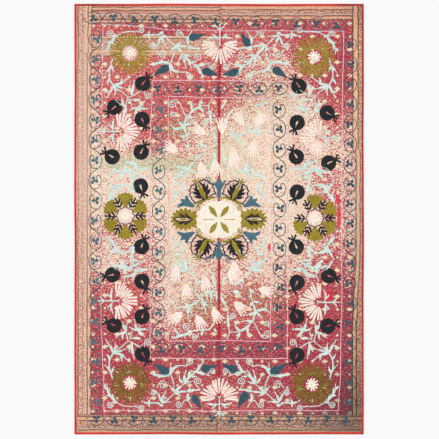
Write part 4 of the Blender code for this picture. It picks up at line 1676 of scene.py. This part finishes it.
FOUNTAIN_VINES: tuple[Branch, ...] = (
    (7, 8, 79, 581, 52, 543, 31, 506, 26, 464), (8, 6, 10, 575, 41, 612),
    (9, 5, 158, 453, 156, 484, 152, 512), (9, 6, 158, 453, 200, 452, 248, 459),
    (8, 5, 180, 452, 214, 470, 228, 482), (8, 5, 190, 450, 214, 432), (9, 6, 84, 427, 70, 456, 58, 485),
    (8, 6, 84, 427, 62, 438, 47, 448), (8, 5, 86, 426, 110, 394, 132, 353),
    (7, 6, 84, 427, 120, 438, 156, 452), (8, 6, 185, 586, 222, 596, 259, 607),
    (9, 6, 132, 251, 140, 280, 142, 304), (9, 6, 134, 252, 158, 274, 174, 294),
    (8, 6, 134, 250, 170, 252, 206, 267), (8, 6, 140, 244, 186, 226, 238, 230),
    (8, 6, 132, 248, 142, 224, 148, 209), (8, 6, 130, 252, 100, 250, 74, 240),
    (8, 6, 206, 182, 194, 146, 180, 108), (8, 6, 206, 184, 230, 186, 250, 180),
    (6, 9, 16, 368, 24, 324, 42, 282, 56, 256),
)


@dataclass(frozen=True)
class Quarter:
    """One quarter of the blanket: how the quarter drawing is mirrored and stretched to it."""

    name: str
    way_x: float
    way_y: float
    inner: tuple[tuple[Branch, ...], ...]
    curls: tuple[Curl, ...]
    stretch: float = 1.0

    def put(self, spots: Drawing) -> Array:
        """Move points of the quarter drawing to this quarter."""
        drawn = np.array(spots, float).reshape(-1, 2)
        return drawn * np.array([self.way_x * self.stretch, self.way_y])


@dataclass
class CoralVines:
    """The branching mint vines, drawn once for a quarter and mirrored, with hand unevenness."""

    quarters: tuple[Quarter, ...] = (
        Quarter("top_left", -1.0, 1.0, (INNER_VINES, LOWER_VINES, SIDE_VINES), INNER_CURLS, 0.963),
        Quarter("top_right", 1.0, 1.0, (FOUNTAIN_VINES, SIDE_VINES), (), 1.0),
        Quarter(
            "bottom_left", -1.0, -1.0, (FEATHERED_VINES, LOWER_VINES, SIDE_VINES), FEATHERED_CURLS, 0.963,
        ),
        Quarter("bottom_right", 1.0, -1.0, (INNER_VINES, LOWER_VINES, SIDE_VINES), INNER_CURLS, 1.0),
    )
    spine: Spots = (
        (60.4, 85.4), (60.1, 88.6), (58.4, 91.8), (55.6, 94.6), (52.0, 96.8),
    )
    tendril: Spots = ((52.0, 96.8), (47.6, 97.2), (44.6, 97.0))

    def branches(self, work: Needlework, quarter: Quarter, table: tuple[Branch, ...]) -> None:
        """Sew a table of branches, each with small shifts of the hand."""
        for start, end, *points in table:
            spots = quarter.put(np.array(points) / 10)
            spots[1:] += work.random.uniform(-0.25, 0.25, (len(spots) - 1, 2))
            middle = 1.35 * max(start, end) if max(start, end) > 6 else start
            work.stroke(smooth_curve(spots), (1.15 * start, middle, 0.64 * (start + end), 1.1 * end))

    def curls(self, work: Needlework, quarter: Quarter, table: tuple[Curl, ...]) -> None:
        """Sew a table of curled ends."""
        for measures in table:
            x, y, radius, tail_x, tail_y = (measure / 10 for measure in measures)
            centre, tail = quarter.put([(x, y), (tail_x, tail_y)])
            curl = spiral(tuple(centre), radius, tuple(tail), spin=quarter.way_x * quarter.way_y)
            work.row(curl, width=4.2)

    def feather(self, work: Needlework, quarter: Quarter) -> None:
        """Sew the feathered arc round the corner's rosette."""
        spine = smooth_curve(quarter.put(self.spine))
        work.stroke(spine, (5.0, 9.0, 10.0, 8.0, 5.0))
        work.row(smooth_curve(quarter.put(self.tendril)), width=4.6)
        lead = np.gradient(spine, axis=0)
        lead /= np.hypot(lead[:, 0], lead[:, 1])[:, None]
        side = np.column_stack([-lead[:, 1], lead[:, 0]]) * quarter.way_x * quarter.way_y
        for index, way, length in ((8, -1, 2.2), (13, 1, 2.6), (17, -1, 2.2), (22, 1, 3.0), (26, -1, 2.4)):
            tip = spine[index] - lead[index] * length + side[index] * way * 0.55 * length
            work.row([spine[index], tip], width=(8.5, 6.0))

    def build(self, basket: Workbasket) -> None:
        """Sew the outer and the inner vines of each quarter."""
        for quarter in self.quarters:
            work = basket.work()
            self.branches(work, quarter, OUTER_VINES)
            self.feather(work, quarter)
            self.curls(work, quarter, OUTER_CURLS)
            work.finished(f"outer_vines_{quarter.name}", MINT)
            work = basket.work()
            for table in quarter.inner:
                self.branches(work, quarter, table)
            self.curls(work, quarter, quarter.curls)
            work.finished(f"inner_vines_{quarter.name}", MINT)


@dataclass
class Tulips:
    """Small pale flowers among the inner vines: middle and direction."""

    places: tuple[Turned, ...] = (
        (-9.2, 45.3, 150), (-23.7, 36.3, 150), (-9, 26.7, -80), (-1.8, 27.8, -95),
        (10, -44.8, -45), (23.2, -36.9, -15), (-21.1, -50.1, 215), (-10.5, -52.2, -60),
        (-2, -48.9, -60), (-16.9, -36.3, -90), (-7.3, -32.1, -70), (11.1, 51.2, 120),
        (20.6, 50.6, 45), (17.4, 37.4, -90), (7.4, 34.2, -90), (1.6, 47.2, 90),
        (7.6, 30.6, -90), (6.7, -29, -60), (8, -24.8, -80), (-22.4, -27, -100),
    )

    def build(self, basket: Workbasket) -> None:
        """Sew the cups and their fingers."""
        work = basket.work()
        for x, y, turn in self.places:
            work.placing = Placing(x, y, turn + work.random.uniform(-8, 8), scale=1.3)
            work.fill([leaf((-2.4, 0.0), (2.0, 0.0), 3.4, 0.62)])
            for finger in range(-2, 3):
                tip = (4.2 - 0.3 * abs(finger) + work.random.uniform(-0.4, 0.4), 1.15 * finger)
                work.row([(0.2, 0.55 * finger), (2.2, 0.85 * finger), tip], width=(8.0, 8.5, 5.5))
        work.finished("tulips", BLUSH)


@dataclass
class Medallion:
    """The flower in the middle: a scalloped white disc ringed by leaves."""

    x: float = -0.1
    y: float = -0.2
    disc_x: float = 11.9
    disc_y: float = 9.9
    scallops: int = 18
    petal_turns: tuple[float, ...] = (126.0, 54.0, -54.0, -123.0)
    leaf_reach: Spot = (7.2, 5.9)
    wings: tuple[Turned, ...] = (
        (-6.8, 9.9, 116.5), (6.6, 9.6, 63), (-6.2, -10.2, -117), (6.4, -10.4, -62.5),
    )
    wing_edge: Spots = (
        (0.2, 0.3), (0.7, 1.4), (0.95, 3), (1.1, 4.5), (0.7, 6.2), (2.2, 5.7), (3.5, 6.6), (4.2, 5.9),
        (5.7, 6.7), (6.9, 5.4), (8.4, 5.5), (9, 4.2), (10.2, 3.7), (9.8, 2.4), (10.5, 1.5), (9.3, 0.95),
    )
    corner_leaf: Spots = (
        (16.3, 12.5), (15.7, 10.7), (14.4, 9), (12.3, 7), (13.5, 6.2), (16.1, 6.7), (18.3, 7), (20, 6.5),
        (21.5, 6.2), (21.3, 7.3), (20, 8.4), (19.1, 9), (20, 10.1), (19.6, 10.9), (18.5, 10.5),
        (17.6, 10.5), (17.4, 11.8),
    )
    crown_leaf: Spots = (
        (-1.2, 11.6), (-1, 13.8), (-0.6, 14.9), (-1.6, 17), (-3.2, 18.1), (-3.7, 19.1), (-2.4, 18.8),
        (-1.2, 19.4), (-0.8, 20.8), (-0.1, 21.2), (1.2, 20.3), (1.8, 18.8), (2.7, 20.2), (4, 20.5),
        (2.9, 18.4), (1.9, 16.4), (0.9, 14.9), (1, 13.6), (1.2, 11.6),
    )

    def lobed(self, size: Spot, lobes: int, depth: float) -> Array:
        """Draw an oval with small round lobes."""
        turn = np.linspace(0.0, 2.0 * math.pi, 12 * lobes, endpoint=False)
        reach = 1.0 - depth + depth * np.abs(np.cos(0.5 * lobes * turn))
        return np.column_stack([size[0] * reach * np.cos(turn), size[1] * reach * np.sin(turn)])

    def disc(self, basket: Workbasket) -> None:
        """Sew the pale disc, with its rows running up and down."""
        work = basket.work(self.x, self.y, stitch=Stitch.SATIN)
        outline = self.lobed((self.disc_x, self.disc_y), self.scallops, 0.06)
        work.fill([outline], 90.0)
        work.finished("medallion_disc", CREAM, lift=0.0005)
        petals = basket.work(self.x, self.y)
        for turn in self.petal_turns:
            petals.fill([leaf(polar(1.3, turn), polar(8.6, turn), 2.5, 0.58)], turn)
        for way in (-1.0, 1.0):
            petals.row([(2.6 * way, 0.1), (5.0 * way, 0.0), (8.4 * way, -0.1)], width=(3.6, 3.0, 3.6))
        petals.finished("medallion_petals", OLIVE, lift=0.0007)

    def side_leaves(self, basket: Workbasket) -> None:
        """Sew the two lobed leaves beside the disc, with black feathers in their hearts."""
        olive, black = basket.work(), basket.work()
        feathers = (
            ((4.1, 0.2), (2.6, 0.8), (0.4, 2.9)), ((0.9, 1.1), (-0.6, 1.7), (-2.4, 2.5)),
            ((4.1, -0.2), (2.6, -1.1), (0.1, -2.6)), ((0.9, -1.1), (-0.8, -1.6), (-2.8, -2.3)),
        )
        for way in (-1.0, 1.0):
            placing = Placing(self.x + way * 17.9, self.y + 0.1, 180.0 if way > 0 else 0.0)
            olive.placing = black.placing = placing
            outer = self.lobed(self.leaf_reach, 17, 0.24)
            opening = leaf((-5.0, 0.0), (4.0, 0.0), 2.9, 0.5)
            olive.fill([outer, opening])
            olive.stroke([(-3.6, 0.0), (0.0, 0.0), (3.2, 0.0)], (3.0, 9.0, 10.0, 8.0, 3.0))
            for tip in ((8.4, 1.9), (8.4, -1.9), (6.0, 4.7), (6.0, -4.7)):
                olive.stroke([(5.2, 0.3 * tip[1]), tip], (9.0, 8.0))
            for feather in feathers:
                black.stroke(smooth_curve(feather), (9.0, 12.0, 11.0))
            rim = [
                (4.2, 0.0), (2.6, 0.8), (-1.1, 1.05), (-4.4, 0.85), (-5.2, 0.1), (-4.3, -0.6),
                (-2.8, -1.2), (2.6, -1.1), (4.2, 0.0),
            ]
            black.row(smooth_curve(rim), width=6.6)
        olive.finished("medallion_side_leaves", OLIVE)
        black.finished("medallion_side_feathers", BLACK, lift=0.0004)

    def winged_leaves(self, basket: Workbasket) -> None:
        """Sew the four winged leaves: pale cloth, black scalloped edge and plumes, olive spine."""
        edge = smooth_curve(self.wing_edge, steps=5)
        pale, black, olive = basket.work(), basket.work(), basket.work()
        for x, y, turn in self.wings:
            for flip in (False, True):
                pale.placing = black.placing = Placing(x, y, turn, flip)
                pale.fill([edge], 40.0)
                black.row(edge, width=5.8)
                plume = smooth_curve([(9.4, 1.3), (6.6, 2.0), (4.4, 1.9), (1.6, 1.3), (0.0, 0.2)])
                black.stroke(plume, (10.0, 16.0, 17.0, 13.0, 8.0))
                for barb in (((8.6, 3.4), (7.2, 2.5), (5.8, 1.9)), ((7.0, 4.6), (5.4, 3.3), (4.0, 2.1)),
                             ((4.4, 4.8), (3.4, 3.4), (2.3, 2.0))):
                    black.stroke(smooth_curve(barb), (9.5, 12.5, 12.0))
            olive.placing = Placing(x, y, turn)
            olive.fill([leaf((0.2, 0.0), (10.2, 0.0), 2.1, 0.4)])
            for tip in ((12.6, 0.2), (12.0, 2.2), (12.0, -2.0)):
                olive.row([(9.4, 0.0), (11.0, 0.4 * tip[1]), tip], width=(5.0, 6.5, 5.5))
        pale.finished("winged_leaf_fill", SHELL, lift=-0.0003)
        black.finished("winged_leaf_edges", BLACK, lift=0.0005)
        olive.finished("winged_leaf_spines", OLIVE, lift=0.0006)

    def ring(self, basket: Workbasket) -> None:
        """Sew the olive bows and curls round the disc."""
        work = basket.work(self.x, self.y)
        for way in (-1.0, 1.0):
            for side in (-1.0, 1.0):
                turned = np.array([side, way])
                bow = smooth_curve([(11.4, 6.6), (10.2, 8.6), (7.0, 9.9)]) * turned
                work.stroke(bow, (9.0, 16.0, 15.0, 9.0))
                bow = smooth_curve([(6.6, 10.0), (4.4, 11.3), (1.8, 11.4)]) * turned
                work.stroke(bow, (9.0, 18.0, 14.0, 8.0))
                curl = spiral((10.6 * side, 6.0 * way), 1.4, (9.8 * side, 8.4 * way), 1.3, side * way)
                work.row(curl, width=4.0)
            work.row(arc((0.9, 10.7 * way), 0.75, 0.0, 360.0, 16), width=4.0)
        work.finished("medallion_ring", OLIVE, lift=0.0006)

    def teal_leaves(self, basket: Workbasket) -> None:
        """Sew the teal leaves behind the ring, and the curls above and below."""
        work = basket.work(self.x, self.y)
        for way_x, way_y in ((-1, 1), (1, 1), (-1, -1), (1, -1)):
            work.fill([np.array(self.corner_leaf) * np.array([way_x, way_y])], -35.0 * way_x * way_y)
        for way in (-1, 1):
            work.fill([np.array(self.crown_leaf) * np.array([way, way])], 90.0)
            work.row(spiral((-5.4, way * 20.6), 1.7, (-3.4, way * 19.2), 1.5, float(way)), width=4.2)
        work.row(spiral((4.6, -20.8), 1.7, (2.8, -19.4), 1.5, 1.0), width=4.2)
        work.finished("medallion_teal_leaves", TEAL)

    def build(self, basket: Workbasket) -> None:
        """Sew the whole medallion."""
        self.teal_leaves(basket)
        self.disc(basket)
        self.side_leaves(basket)
        self.ring(basket)
        self.winged_leaves(basket)


def main() -> None:
    """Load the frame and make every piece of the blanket's looks."""
    logging.basicConfig(level=logging.INFO, format="%(message)s")
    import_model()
    form = BlanketForm.from_frame()
    Studio().build()
    widths = ClothWidths(form)
    for side in (-1, 1):
        widths.build(side)
    CentreStrip(form).build()
    bindings = Bindings(form)
    for where in ("left", "right", "bottom", "top"):
        bindings.build(where)
    basket = Workbasket(form)
    for motif in (
        FrameLines(), TrefoilBorders(), CoralVines(), Tulips(), Botehs(), Carnations(),
        CornerRosettes(), SideRosettes(), Pomegranates(), Medallion(),
    ):
        motif.build(basket)


if __name__ == "__main__":
    main()
